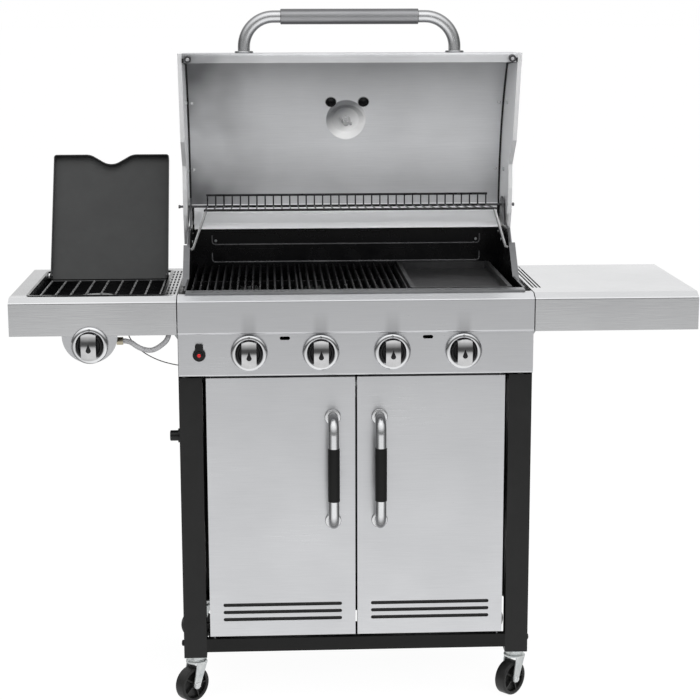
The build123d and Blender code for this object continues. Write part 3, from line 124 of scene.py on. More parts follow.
def blend(tree, factor, first, second):
    """One colour where the factor is zero, and another where it is one."""
    node = tree.nodes.new("ShaderNodeMix")
    node.data_type = "RGBA"
    put(tree, node.inputs[0], factor)
    for number, colour in ((6, first), (7, second)):
        put(tree, node.inputs[number], (*colour, 1.0) if isinstance(colour, tuple) else colour)
    return node.outputs[2]


def combine(tree, first, second, operation="ADD"):
    node = tree.nodes.new("ShaderNodeMath")
    node.operation = operation
    put(tree, node.inputs[0], first)
    put(tree, node.inputs[1], second)
    return node.outputs[0]


def product(tree, first, second):
    return combine(tree, first, second, "MULTIPLY")


def size_of(tree, value):
    """A value without its sign."""
    return combine(tree, value, 0.0, "ABSOLUTE")


def split(tree, vector):
    """The parts of a vector, named X, Y and Z."""
    node = tree.nodes.new("ShaderNodeSeparateXYZ")
    tree.links.new(vector, node.inputs[0])
    return node.outputs


def object_vector(tree, stretch=None):
    """Object coordinates, multiplied axis by axis where a stretch is given."""
    place = tree.nodes.new("ShaderNodeTexCoord").outputs["Object"]
    if stretch is None:
        return place
    node = tree.nodes.new("ShaderNodeVectorMath")
    node.operation = "MULTIPLY"
    put(tree, node.inputs[0], place)
    put(tree, node.inputs[1], stretch)
    return node.outputs[0]


def brushed_grain_group():
    """Fine strokes along one axis, with broad soft patches between them."""
    group, ends_in, ends_out = new_group(
        "brushed_grain",
        [("Stretch", "NodeSocketVector", (5.0, 420.0, 420.0))],
        [("Strokes", "NodeSocketFloat"), ("Patches", "NodeSocketFloat")],
    )
    strokes = noise(group, object_vector(group, ends_in.outputs["Stretch"]), 1.0, 5.0, 0.65)
    feed(group, ends_out, Strokes=strokes, Patches=noise(group, object_vector(group), 5.5, 2.0))
    return group


def coat_grain_group():
    """Orange peel of a baked coat, and soft dusty patches."""
    group, ends_in, ends_out = new_group(
        "coat_grain",
        [("Grain", "NodeSocketFloat", 700.0)],
        [("Peel", "NodeSocketFloat"), ("Dust", "NodeSocketFloat")],
    )
    peel = noise(group, object_vector(group), ends_in.outputs["Grain"], 2.0)
    feed(group, ends_out, Peel=peel, Dust=noise(group, object_vector(group), 14.0, 5.0, 0.7))
    return group


brushed_grain = brushed_grain_group()
coat_grain = coat_grain_group()
across = (16.0, 900.0, 900.0)
deep = (900.0, 16.0, 900.0)
stroke_depth = 0.0006
# Colour of painted shade and painted reflections, which masks blend into metals
painted_shade_colour = (0.04, 0.04, 0.042)


def split_place(tree):
    return split(tree, object_vector(tree))


def split_normal(tree):
    return split(tree, tree.nodes.new("ShaderNodeNewGeometry").outputs["True Normal"])


def new_finish(name, metallic, **plain):
    """Material with one Principled shader, and the values that are the same all over it."""
    material = bpy.data.materials.new(name)
    material.use_nodes = True
    shader = material.node_tree.nodes["Principled BSDF"]
    feed(material.node_tree, shader, Metallic=metallic, **plain)
    return material, material.node_tree, shader


def place_group(tree, group, **values):
    node = tree.nodes.new("ShaderNodeGroup")
    node.node_tree = group
    feed(tree, node, **values)
    return node.outputs


def roughen(tree, shader, height, strength, distance):
    bump = tree.nodes.new("ShaderNodeBump")
    feed(tree, bump, Strength=strength, Distance=distance, Height=height)
    feed(tree, shader, Normal=bump.outputs["Normal"])


def draw_out(tree, shader, amount):
    """Stretch the gloss up and down, square to a grain that runs across."""
    upright = tree.nodes.new("ShaderNodeVectorMath")
    upright.operation = "CROSS_PRODUCT"
    put(tree, upright.inputs[0], tree.nodes.new("ShaderNodeNewGeometry").outputs["Normal"])
    put(tree, upright.inputs[1], (1.0, 0.0, 0.0))
    feed(tree, shader, Tangent=upright.outputs[0], Anisotropic=amount)


def brushed_tone(tree, stretch):
    """Strokes of a brushed grain, and the tone that they and the soft patches give together."""
    grain = place_group(tree, brushed_grain, Stretch=stretch)
    strokes = spread(tree, grain["Strokes"], 0.3, 0.7, 0.0, 0.6)
    patches = spread(tree, grain["Patches"], 0.3, 0.7, 0.0, 0.4)
    return grain["Strokes"], combine(tree, strokes, patches)


def with_painted_shade(tree, colour, mask):
    """The colour, darkened by a mask of painted shade and painted reflections where one is given."""
    if mask is None:
        return colour
    return blend(tree, mask(tree), colour, painted_shade_colour)


def brushed_steel(name, dark, light, rough, stretch, metallic=1.0, drawn=0.0, shade_mask=None):
    """Rolled sheet with a brushed grain: strokes shade the colour and the gloss, and a mask paints shade and
    reflections into the colour.
    """
    material, tree, shader = new_finish(name, metallic)
    if drawn:
        draw_out(tree, shader, drawn)
    strokes, tone = brushed_tone(tree, stretch)
    colour = with_painted_shade(tree, blend(tree, tone, dark, light), shade_mask)
    feed(tree, shader, Base_Color=colour, Roughness=spread(tree, tone, 0.0, 1.0, rough[1], rough[0]))
    roughen(tree, shader, strokes, 0.12, stroke_depth)
    return material


roll_top = 0.962
lip_foot = 1.262
lip_back = 0.02
inside_metal = 0.33
seat_edge = (0.041, 0.043)


def lid_painted_shade(tree, place, above_roll):
    """Painted shade and painted reflections on the lid's inside: dark cloudy reflection patches that thin
    out to the right, and shade painted towards the top, low down above the rolled edge, at the left edge and
    a little on the lip.
    """
    clouds = noise(tree, object_vector(tree, (1.0, 0.0, 1.0)), 7.0, 2.0)
    thinning = spread(tree, place["X"], -0.32, -0.16, 0.42, 0.06)
    shade_sum = product(tree, spread(tree, clouds, 0.4, 0.62, 0.0, 1.0), thinning)
    over_foot = combine(tree, place["Z"], lip_foot, "GREATER_THAN")
    on_lip = product(tree, over_foot, combine(tree, place["Y"], lip_back, "LESS_THAN"))
    zones = (
        spread(tree, place["Z"], 1.14, lip_foot, 0.0, 0.33),
        product(tree, spread(tree, place["Z"], 1.0, 1.09, 0.37, 0.0), above_roll),
        spread(tree, place["X"], -0.31, -0.17, 0.2, 0.0),
        product(tree, on_lip, 0.06),
    )
    for zone in zones:
        shade_sum = combine(tree, shade_sum, zone)
    return shade_sum


def pressed_seat(tree):
    """One within the round seat that is pressed into the lid for the gauge."""
    reach = tree.nodes.new("ShaderNodeVectorMath")
    reach.operation = "DISTANCE"
    put(tree, reach.inputs[0], object_vector(tree, (1.0, 0.0, 1.0)))
    put(tree, reach.inputs[1], (gauge_base.x, 0.0, gauge_base.z))
    return spread(tree, reach.outputs["Value"], *seat_edge, 1.0, 0.0)


def lid_skin():
    """Brushed lid sheet: bare metal outside; inside a lighter colour that is painted light, with painted
    shade and reflections, a painted highlight on the rolled edge and painted light and shade in the gauge
    seat.
    """
    material, tree, shader = new_finish("lid_steel", 0.0)
    draw_out(tree, shader, 0.8)
    place = split_place(tree)
    facing = split(tree, tree.nodes.new("ShaderNodeTexCoord").outputs["Normal"])
    inside = combine(tree, facing["Y"], 0.0, "LESS_THAN")
    above_roll = combine(tree, place["Z"], roll_top, "GREATER_THAN")
    roll = combine(tree, inside, above_roll, "GREATER_THAN")
    pressed = product(tree, pressed_seat(tree), inside)
    strokes, tone = brushed_tone(tree, across)
    # The inside gets a lighter colour than the outside: painted light on the inner face
    outer = blend(tree, tone, (0.62, 0.626, 0.642), (0.69, 0.696, 0.712))
    inner = blend(tree, tone, (0.76, 0.768, 0.785), (0.88, 0.888, 0.905))
    shade = product(tree, lid_painted_shade(tree, place, above_roll), inside)
    sheet = blend(tree, inside, outer, inner)
    # Painted shade and painted reflections darken the inside towards this grey
    sheet = blend(tree, shade, sheet, (0.1, 0.102, 0.106))
    # Painted highlight: the inside of the rolled rear edge, below the roll's top, is near white and not
    # metallic
    sheet = blend(tree, roll, sheet, (0.95, 0.955, 0.965))
    # Painted light and shade in the gauge seat: lighter towards the lower right, darker towards the upper
    # left, and not metallic there
    slant = combine(tree, product(tree, place["X"], 0.5), place["Z"], "SUBTRACT")
    light_side = spread(tree, slant, -1.17, -1.118, 0.0, 1.0)
    dish = blend(tree, light_side, (0.2, 0.204, 0.212), (1.0, 1.0, 1.0))
    metal = spread(tree, inside, 0.0, 1.0, 1.0, inside_metal)
    plain = product(tree, combine(tree, roll, pressed, "MAXIMUM"), inside_metal)
    feed(
        tree,
        shader,
        Base_Color=blend(tree, pressed, sheet, dish),
        Metallic=combine(tree, metal, plain, "SUBTRACT"),
        Roughness=spread(tree, tone, 0.0, 1.0, 0.5, 0.36),
    )
    roughen(tree, shader, strokes, 0.16, stroke_depth)
    return material


def coated(name, dark, light, rough, grain=700.0, strength=0.12, distance=0.0004, shine=0.5):
    """Paint, enamel, rubber or moulding: fine peel, dusty patches in colour and gloss."""
    material, tree, shader = new_finish(name, 0.0, Specular_IOR_Level=shine)
    marks = place_group(tree, coat_grain, Grain=grain)
    dust = spread(tree, marks["Dust"], 0.35, 0.7, 0.0, 1.0)
    gloss = spread(tree, marks["Dust"], 0.35, 0.7, *rough)
    feed(tree, shader, Base_Color=blend(tree, dust, dark, light), Roughness=gloss)
    roughen(tree, shader, marks["Peel"], strength, distance)
    return material


def plated(name, dark, light, rough, patch=9.0, metallic=1.0, shade_mask=None, wave=0.04):
    """Plated metal: soft clouds in colour and gloss, and a faint waviness; a mask paints shade and
    reflections into the colour.
    """
    material, tree, shader = new_finish(name, metallic)
    clouds = noise(tree, object_vector(tree), patch, 4.0, 0.6)
    colour = blend(tree, spread(tree, clouds, 0.35, 0.65, 0.0, 1.0), dark, light)
    gloss = spread(tree, clouds, 0.35, 0.65, *rough)
    feed(tree, shader, Base_Color=with_painted_shade(tree, colour, shade_mask), Roughness=gloss)
    roughen(tree, shader, noise(tree, object_vector(tree), 60.0, 2.0), wave, 0.0005)
    return material


strip_edge = (-0.2, -0.17)
streak_foot = 0.752


def left_top_shade(tree):
    """Mask of painted shade on the left shelf's top behind its front strip: a painted reflection of the dark
    side burner lid.
    """
    place = split_place(tree)
    level = combine(tree, split_normal(tree)["Z"], 0.9, "GREATER_THAN")
    aside = product(tree, combine(tree, place["X"], 0.0, "LESS_THAN"), level)
    return product(tree, spread(tree, place["Y"], *strip_edge, 0.0, 0.46), aside)


def knob_reflections(tree):
    """Mask of painted reflections of the knobs: faint dark streaks on the control panel above the four
    knobs.
    """
    place = split_place(tree)
    from_pair = size_of(tree, combine(tree, size_of(tree, place["X"]), knob_pitch, "SUBTRACT"))
    from_knob = size_of(tree, combine(tree, from_pair, knob_pitch / 2, "SUBTRACT"))
    streak = spread(tree, from_knob, 0.008, 0.017, 1.0, 0.0)
    above = combine(tree, place["Z"], streak_foot, "GREATER_THAN")
    fading = spread(tree, place["Z"], 0.755, 0.805, 0.24, 0.0)
    return product(tree, streak, product(tree, fading, above))


def edge_lines(tree):
    """Mask of the dark lines that a bright room leaves along both sides of a polished tube."""
    weight = tree.nodes.new("ShaderNodeLayerWeight")
    weight.inputs["Blend"].default_value = 0.5
    inward = spread(tree, weight.outputs["Facing"], 0.1, 0.34, 0.0, 0.74)
    return product(tree, inward, spread(tree, weight.outputs["Facing"], 0.65, 0.9, 1.0, 0.45))


steel = brushed_steel(
    "brushed_steel", (0.645, 0.652, 0.668), (0.715, 0.722, 0.738), (0.26, 0.36), across, drawn=0.7
)
# Painted reflections of the knobs darken the control panel above them
panel_steel = brushed_steel(
    "panel_steel", (0.635, 0.642, 0.658), (0.705, 0.712, 0.728), (0.26, 0.36), across,
    drawn=0.7, shade_mask=knob_reflections,
)
# Painted shade darkens the left shelf's top behind its front strip
shelf_steel = brushed_steel(
    "shelf_steel", (0.64, 0.645, 0.655), (0.72, 0.725, 0.735), (0.18, 0.28), across, shade_mask=left_top_shade
)
lid_steel = lid_skin()
chrome = plated("chrome", (0.7, 0.706, 0.718), (0.77, 0.776, 0.788), (0.05, 0.1))
tube_plate = plated(
    "tube_plating", (0.68, 0.686, 0.698), (0.75, 0.756, 0.768), (0.06, 0.11),
    metallic=0.8, shade_mask=edge_lines, wave=0.006,
)
lever_plate = plated("lever_plating", (0.52, 0.52, 0.525), (0.6, 0.6, 0.605), (0.07, 0.13), 60.0)
wire_plate = plated("rack_plating", (0.04, 0.04, 0.042), (0.075, 0.075, 0.078), (0.26, 0.38), 40.0)
bright_wire = plated("leg_plating", (0.66, 0.665, 0.67), (0.8, 0.805, 0.81), (0.14, 0.24), 40.0, 0.45)
dark_steel = plated("rod_steel", (0.1, 0.1, 0.105), (0.17, 0.17, 0.175), (0.28, 0.4), 40.0)
zinc = plated("zinc_plating", (0.55, 0.58, 0.59), (0.72, 0.74, 0.73), (0.26, 0.42), 70.0, 0.6)
brass = plated("brass", (0.4, 0.36, 0.27), (0.55, 0.5, 0.38), (0.25, 0.4), 60.0)
grip_metal = brushed_steel(
    "lid_grip", (0.3, 0.302, 0.312), (0.4, 0.402, 0.412), (0.36, 0.46), across,
    metallic=0.75, shade_mask=edge_lines,
)
black_paint = coated(
    "black_powder_coat", (0.007, 0.007, 0.007), (0.012, 0.012, 0.012), (0.44, 0.56), shine=0.35
)
rail_paint = coated(
    "rail_powder_coat", (0.003, 0.003, 0.003), (0.006, 0.006, 0.006), (0.44, 0.56), shine=0.28
)
charcoal = coated(
    "charcoal_coat", (0.032, 0.033, 0.033), (0.041, 0.042, 0.042), (0.4, 0.5), shine=0.32
)
enamel = coated("black_enamel", (0.005, 0.005, 0.006), (0.011, 0.011, 0.012), (0.16, 0.34), 240.0, 0.1)
# Grey beads: a painted highlight, lighter than the fire box's black enamel
bead_highlight_enamel = coated("bead_highlight_enamel", (0.09, 0.09, 0.095), (0.15, 0.15, 0.155), (0.16, 0.26), 260.0, 0.05)
grate_wire = plated("side_grate_wire", (0.24, 0.24, 0.245), (0.46, 0.46, 0.465), (0.2, 0.34), 50.0, 0.6)
# Black of the lid's seams, also used for the plates of painted shade behind openings
seam_and_shade_black = coated("seam_and_shade_black", (0.008, 0.008, 0.008), (0.014, 0.014, 0.014), (0.6, 0.75), 900.0)
cast_enamel = coated(
    "cast_enamel", (0.003, 0.003, 0.0035), (0.01, 0.01, 0.0105), (0.22, 0.4), 380.0, 0.4, 0.0012, 0.24
)
griddle_enamel = coated(
    "griddle_enamel", (0.022, 0.022, 0.023), (0.042, 0.042, 0.043), (0.36, 0.5), 320.0, 0.2, 0.0008, 0.4
)
tyre = coated("caster_tyre", (0.005, 0.005, 0.005), (0.011, 0.011, 0.0105), (0.45, 0.62), 900.0)
grey_rubber = coated("grey_rubber", (0.3, 0.3, 0.31), (0.4, 0.4, 0.41), (0.55, 0.7), 900.0)
bumper_rubber = coated("bumper_rubber", (0.035, 0.035, 0.037), (0.055, 0.055, 0.057), (0.45, 0.6), 900.0)
hose_rubber = coated("hose_rubber", (0.33, 0.33, 0.34), (0.45, 0.45, 0.46), (0.4, 0.55), 900.0)
wire_sleeve = coated("wire_sleeve", (0.05, 0.05, 0.05), (0.07, 0.07, 0.07), (0.4, 0.5), 900.0)
black_plastic = coated(
    "black_moulding", (0.004, 0.004, 0.0045), (0.008, 0.008, 0.0085), (0.16, 0.28), 1100.0, shine=0.3
)
grip_sleeve = coated(
    "grip_sleeve", (0.003, 0.003, 0.003), (0.006, 0.006, 0.006), (0.5, 0.62), 1400.0, 0.3, shine=0.3
)
dial_face = coated("dial_face", (0.78, 0.78, 0.77), (0.84, 0.84, 0.83), (0.5, 0.6))
red_lens = coated("red_lens", (0.55, 0.012, 0.015), (0.68, 0.02, 0.02), (0.16, 0.26), 500.0)

rim_back = -0.1675
rim_foot = 0.8325


def part_enamelled(name, steel_where, bare_dark, bare_light):
    """Black enamel over steel, which is left bare where the given mask is one."""
    material, tree, shader = new_finish(name, 0.0, Specular_IOR_Level=0.3)
    bare = steel_where(tree)
    marks = place_group(tree, coat_grain, Grain=260.0)
    dust = spread(tree, marks["Dust"], 0.35, 0.7, 0.0, 1.0)
    black = blend(tree, dust, (0.003, 0.003, 0.0035), (0.008, 0.008, 0.0085))
    metal = blend(tree, dust, bare_dark, bare_light)
    colour = blend(tree, bare, black, metal)
    gloss = spread(tree, marks["Dust"], 0.35, 0.7, 0.2, 0.34)
    gloss = combine(tree, gloss, product(tree, bare, 0.12))
    feed(tree, shader, Base_Color=colour, Roughness=gloss, Metallic=bare)
    roughen(tree, shader, marks["Peel"], 0.08, 0.0004)
    return material


def front_rim(tree):
    """One on the fire box's front rim, above the control panel."""
    place = split_place(tree)
    before = combine(tree, place["Y"], rim_back, "LESS_THAN")
    return product(tree, before, combine(tree, place["Z"], rim_foot, "GREATER_THAN"))


def outer_faces(tree, limit=-0.1):
    """One on faces that look away from the middle by more than a limit: a low one takes in the edges."""
    outward = product(tree, split_place(tree)["X"], split_normal(tree)["X"])
    return combine(tree, outward, limit, "GREATER_THAN")


def outer_end_shade(tree):
    """Mask of painted shade that tones down the outer faces and edges of the lid's ends, against their
    lighter inner faces.
    """
    return product(tree, outer_faces(tree, -0.2), 0.32)


box_enamel = part_enamelled("fire_box_enamel", front_rim, (0.3, 0.305, 0.315), (0.4, 0.405, 0.415))
ear_plate = part_enamelled("end_plate_steel", outer_faces, (0.14, 0.142, 0.147), (0.22, 0.222, 0.228))
end_inside = 0.1
# The lid ends' bright colour is painted light on their inner faces; the mask paints shade on the outer faces
# and edges
end_steel = brushed_steel(
    "lid_end_steel", (0.88, 0.885, 0.895), (0.95, 0.955, 0.965), (0.3, 0.42), deep, shade_mask=outer_end_shade
)
end_tree = end_steel.node_tree
end_metal = spread(end_tree, outer_faces(end_tree, 0.2), 0.0, 1.0, end_inside, 1.0)
feed(end_tree, end_tree.nodes["Principled BSDF"], Metallic=end_metal)

lens_tint = (0.96, 0.98, 0.98, 1.0)
lens, lens_tree, lens_shader = new_finish(
    "gauge_glass", 0.0, Transmission_Weight=1.0, IOR=1.45, Base_Color=lens_tint
)
smears = noise(lens_tree, object_vector(lens_tree), 30.0, 4.0)
feed(lens_tree, lens_shader, Roughness=spread(lens_tree, smears, 0.4, 0.7, 0.02, 0.12))

# Finishes of the solids
finishes = {
    steel: ["left_door", "right_door", "side_knob_bracket"],
    panel_steel: ["control_panel"],
    shelf_steel: ["left_shelf", "right_shelf"],
    lid_steel: ["lid_shell"],
    end_steel: ["lid_end_panels"],
    chrome: ["knob_bezels"],
    tube_plate: ["lid_handle", "left_door_handle", "right_door_handle"],
    bright_wire: ["gauge_housing", "side_burner"],
    dark_steel: ["hinge_rod", "hinge_pins"],
    wire_plate: ["warming_rack"],
    zinc: ["caster_plates", "shelf_brackets", "gas_manifold", "main_burners", "heat_tents", "grease_tray"],
    brass: ["gas_valves"],
    grip_metal: ["lid_handle_grip"],
    black_paint: ["left_side_panel", "right_side_panel", "back_panel"],
    rail_paint: ["bottom_shelf"],
    charcoal: ["side_burner_lid"],
    box_enamel: ["firebox"],
    ear_plate: ["firebox_end_plates"],
    enamel: ["side_burner_pan", "side_burner_grate"],
    cast_enamel: ["cooking_grates"],
    griddle_enamel: ["griddle"],
    grey_rubber: ["lid_bumpers"],
    black_plastic: ["igniter_housing", "igniter_button", "tool_peg"],
    grip_sleeve: ["left_door_grip", "right_door_grip"],
    lens: ["gauge_lens"],
    red_lens: ["gauge_pointer"],
}
finishes[zinc] += [f"caster_fork_{corner}" for corner in corners]
finishes[tyre] = [f"caster_wheel_{corner}" for corner in corners]
finishes[black_plastic] += [f"knob_{number}" for number in range(1, 6)]
for material, names in finishes.items():
    for name in names:
        cad[name].data.materials.clear()
        cad[name].data.materials.append(material)


# Cords: the side burner's hose and the ignition wire
def lay_cord(name, route, diameter, material):
    curve = bpy.data.curves.new(name, "CURVE")
    curve.dimensions = "3D"
    curve.resolution_u = 12
    curve.bevel_depth = diameter / 2
    curve.bevel_resolution = 6
    curve.use_fill_caps = True
    spline = curve.splines.new("NURBS")
    spline.points.add(len(route) - 1)
    for point, (x, y, z) in zip(spline.points, route):
        point.co = (x, y, z, 1.0)
    spline.order_u = 3
    spline.use_endpoint_u = True
    curve.materials.append(material)
    piece = bpy.data.objects.new(name + "_run", curve)
    scene.collection.objects.link(piece)
    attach(piece, "cart")
    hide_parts(name)


hose_y = -0.201
lay_cord(
    "side_hose",
    route=[
        (-0.45, hose_y, 0.746),
        (-0.438, hose_y, 0.746),
        (-0.421, hose_y, 0.732),
        (-0.398, hose_y, 0.725),
        (-0.379, hose_y, 0.734),
        (-0.362, hose_y, 0.75),
        (-0.362, hose_y, 0.764),
    ],
    diameter=0.01,
    material=hose_rubber,
)
wire_y = -0.182
lay_cord(
    "ignition_wire",
    route=[
        (-0.446, -0.1655, 0.778),
        (-0.446, -0.1655, 0.766),
        (-0.444, -0.169, 0.757),
        (-0.44, -0.174, 0.748),
        (-0.432, -0.179, 0.737),
        (-0.418, wire_y, 0.723),
        (-0.4, wire_y, 0.711),
        (-0.378, wire_y, 0.701),
        (-0.356, wire_y, 0.695),
        (-0.338, wire_y, 0.692),
        (-0.322, wire_y, 0.6925),
        (-0.31, wire_y, 0.698),
        (-0.304, wire_y, 0.71),
    ],
    diameter=0.002,
    material=wire_sleeve,
)


# Modelling helpers
rightward = Vector((1, 0, 0))
ahead = Vector((0, -1, 0))
upward = Vector((0, 0, 1))
front_turn = (math.pi / 2, 0, 0)
side_turn = (0, math.pi / 2, 0)


def deselect():
    if bpy.context.mode != "OBJECT":
        bpy.ops.object.mode_set(mode="OBJECT")
    bpy.ops.object.select_all(action="DESELECT")


def take(piece):
    """Make a piece the only one selected, and the active one."""
    deselect()
    piece.select_set(True)
    bpy.context.view_layer.objects.active = piece


def fix_place(piece):
    """Put a piece's place, turn and size into its mesh."""
    take(piece)
    bpy.ops.object.transform_apply(location=True, rotation=True, scale=True)
    return piece


def edit_whole(piece):
    """Enter edit mode with the whole mesh chosen."""
    take(piece)
    bpy.ops.object.mode_set(mode="EDIT")
    bpy.ops.mesh.select_all(action="SELECT")


def press(piece, steps, axis=upward):
    """Inset the face that looks along an axis, step by step, each with its thickness and depth."""
    take(piece)
    bpy.ops.object.mode_set(mode="EDIT")
    bpy.ops.mesh.select_mode(type="FACE")
    bpy.ops.mesh.select_all(action="DESELECT")
    bpy.ops.object.mode_set(mode="OBJECT")
    for face in piece.data.polygons:
        face.select = face.normal.dot(axis) > 0.9
    bpy.ops.object.mode_set(mode="EDIT")
    for thickness, depth in steps:
        bpy.ops.mesh.inset(thickness=thickness, depth=depth)
    bpy.ops.object.mode_set(mode="OBJECT")


def face_outward():
    """Turn all faces of the mesh in edit mode outward, and leave edit mode."""
    bpy.ops.mesh.select_all(action="SELECT")
    bpy.ops.mesh.normals_make_consistent(inside=False)
    bpy.ops.object.mode_set(mode="OBJECT")


def cylinder(count, radius, depth, place=(0, 0, 0), turned=(0, 0, 0)):
    deselect()
    bpy.ops.mesh.primitive_cylinder_add(
        vertices=count, radius=radius, depth=depth, location=place, rotation=turned
    )
    return fix_place(bpy.context.object)


def standing(count, radius, height):
    """Cylinder that stands on the origin."""
    return cylinder(count, radius, height, (0, 0, height / 2))


def torus(count, section, radius, thick):
    deselect()
    bpy.ops.mesh.primitive_torus_add(
        major_segments=count, minor_segments=section, major_radius=radius, minor_radius=thick
    )
    return fix_place(bpy.context.object)


def ball(count, radius, scale, place=(0, 0, 0)):
    """Sphere, flattened by a scale."""
    deselect()
    bpy.ops.mesh.primitive_uv_sphere_add(
        segments=count, ring_count=count // 2, radius=radius, location=place
    )
    bpy.context.object.scale = scale
    return fix_place(bpy.context.object)


def apply_modifier(piece, kind, **settings):
    take(piece)
    modifier = piece.modifiers.new(kind.lower(), kind)
    for key, value in settings.items():
        setattr(modifier, key, value)
    bpy.ops.object.modifier_apply(modifier=modifier.name)


def soften(piece, width, segments=3, angle=35.0):
    """Round the sharp edges."""
    apply_modifier(
        piece, "BEVEL", width=width, segments=segments, limit_method="ANGLE", angle_limit=math.radians(angle)
    )


def settle(piece, name, body, material, angle=35.0):
    """Finish a piece: name, material, smooth shading, and the body that it rides on."""
    fix_place(piece)
    bpy.ops.object.shade_smooth_by_angle(angle=math.radians(angle))
    piece.name = name
    piece.data.name = name
    piece.data.materials.clear()
    piece.data.materials.append(material)
    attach(piece, body)
    return piece


def face_along(piece, place, axis):
    """Stand a piece that was modelled about the origin, facing up, on a place along an axis."""
    piece.rotation_euler = Vector(axis).to_track_quat("Z", "Y").to_euler()
    piece.location = place
    return fix_place(piece)


def copy_of(piece, place, axis):
    twin = piece.copy()
    twin.data = piece.data.copy()
    scene.collection.objects.link(twin)
    return face_along(twin, place, axis)


def smooth_copy(node, body, material, edge=0.0):
    """Merged copy of a solid with softened edges and smooth curves, in its place."""
    piece = cad[node].copy()
    piece.data = cad[node].data.copy()
    piece.parent = None
    piece.matrix_world = Matrix.Identity(4)
    scene.collection.objects.link(piece)
    edit_whole(piece)
    bpy.ops.mesh.remove_doubles(threshold=0.00002)
    bpy.ops.object.mode_set(mode="OBJECT")
    if edge:
        soften(piece, edge)
    settle(piece, node + "_skin", body, material)
    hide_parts(node)
    return piece


def seat_on(piece, start, way):
    """Point and normal where a line first meets a piece."""
    bpy.context.view_layer.update()
    _, point, normal, _ = piece.ray_cast(Vector(start), Vector(way).normalized())
    return point, normal


def run_curve(name, runs, closed=False):
    """Curve along runs of points: a flat outline where it is closed."""
    curve = bpy.data.curves.new(name, "CURVE")
    curve.dimensions = "2D" if closed else "3D"
    for run in runs:
        spline = curve.splines.new("POLY")
        spline.points.add(len(run) - 1)
        for point, spot in zip(spline.points, run):
            point.co = (*spot, 1.0)
        spline.use_cyclic_u = closed
    return curve


def mesh_of(curve):
    piece = bpy.data.objects.new(curve.name, curve)
    scene.collection.objects.link(piece)
    take(piece)
    bpy.ops.object.convert(target="MESH")
    return bpy.context.object


def round_bar(name, runs, diameter, body, material, stand=None, fine=3):
    """Round wires along runs of points, as one mesh, stood on a place and axis if given."""
    curve = run_curve(name, runs)
    curve.bevel_depth = diameter / 2
    curve.bevel_resolution = fine
    curve.use_fill_caps = True
    piece = mesh_of(curve)
    if stand:
        face_along(piece, *stand)
    return settle(piece, name, body, material, 60.0)


def bend_points(corner, before, after, radius, steps=5):
    """Points round a corner between two directions."""
    start = Vector(corner) + Vector(before) * radius
    end = Vector(corner) + Vector(after) * radius
    points = []
    for step in range(steps + 1):
        t = step / steps
        points.append(start * (1 - t) ** 2 + Vector(corner) * 2 * t * (1 - t) + end * t**2)
    return points


def side_plate(name, outline, x, thickness, body, slot, material):
    """Flat plate standing fore and aft at x, cut to an outline of depths and heights."""
    curve = run_curve(name, [[(depth, height, 0.0) for depth, height in outline]], closed=True)
    curve.fill_mode = "BOTH"
    curve.extrude = thickness / 2
    piece = mesh_of(curve)
    piece.matrix_world = Matrix(((0, 0, 1, x), (1, 0, 0, 0), (0, 1, 0, 0), (0, 0, 0, 1)))
    edit_whole(fix_place(piece))
    bpy.ops.mesh.remove_doubles(threshold=0.00001)
    face_outward()
    soften(piece, 0.0004, 2)
    return settle(piece, name, body, material)


def painted_shade_plate(name, body, place, size):
    """Thin dark plate behind openings: painted shade where they would show light through."""
    deselect()
    bpy.ops.mesh.primitive_cube_add(size=1.0, location=place)
    plate = bpy.context.object
    plate.scale = size
    settle(plate, name, body, seam_and_shade_black)


def arc_points(corner, before, after, radius, steps=16):
    """Points on the round bend between two directions at right angles."""
    points = []
    for step in range(steps + 1):
        angle = step * math.pi / 2 / steps
        start = before * radius * (1 - math.sin(angle))
        points.append(corner + start + after * radius * (1 - math.cos(angle)))
    return points


rosette_height = 0.004


def tube_handle(node, body, seat, along, out, span, reach, bend, diameter, rosette):
    """Bent tube on two feet, with a rounded rosette under each foot, in place of a node."""
    ends = [seat + along * (side * span / 2) for side in (-1, 1)]
    run = [ends[0]]
    run += arc_points(ends[0] + out * reach, -out, along, bend)
    run += arc_points(ends[1] + out * reach, -along, -out, bend)
    run.append(ends[1])
    tube = round_bar(f"{node}_tube", [run], diameter, body, tube_plate, fine=14)
    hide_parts(node)
    for end, word in zip(ends, ("first", "second")):
        foot = standing(72, rosette / 2, rosette_height)
        press(foot, [(0.0022, 0.0004)])
        soften(foot, 0.0014, 5, 20.0)
        settle(face_along(foot, end, out), f"{node}_rosette_{word}", body, tube_plate, 50.0)


def screw_head(radius, height):
    """Low dome with a slot, facing up."""
    head = standing(32, radius, height)
    press(head, [(radius * 0.3, height * 0.3), (radius * 0.25, height * 0.12)])
    bpy.ops.object.mode_set(mode="EDIT")
    bpy.ops.transform.resize(value=(1.2, 0.3, 1.0))
    bpy.ops.mesh.extrude_region_move(TRANSFORM_OT_translate={"value": (0, 0, -height * 0.5)})
    bpy.ops.object.mode_set(mode="OBJECT")
    soften(head, radius * 0.06, 2)
    return head


# Knobs: black disc, crowned chrome lever and a drop-shaped pointer mark
disc_radius = 0.0238
disc_front = 0.014
lever_width = 0.0285
lever_half = 0.0262
lever_front = 0.0325
lever_thick = 0.017
crown_radius = 0.056
crown_overrun = 1.08
mark_radius = 0.005
mark_drop = 0.005
mark_lift = 0.0003
mark_depth = 0.0022
mark_taper = 0.8
mark_draw = 1.6
disc_gap = 0.001


def knob_disc(x, y, z):
    depth = disc_front - disc_gap
    disc = cylinder(72, disc_radius, depth, (x, y - disc_gap - depth / 2, z), front_turn)
    press(disc, [(0.003, 0.0), (0.0012, -0.0015)], ahead)
    soften(disc, 0.0007)
    return disc


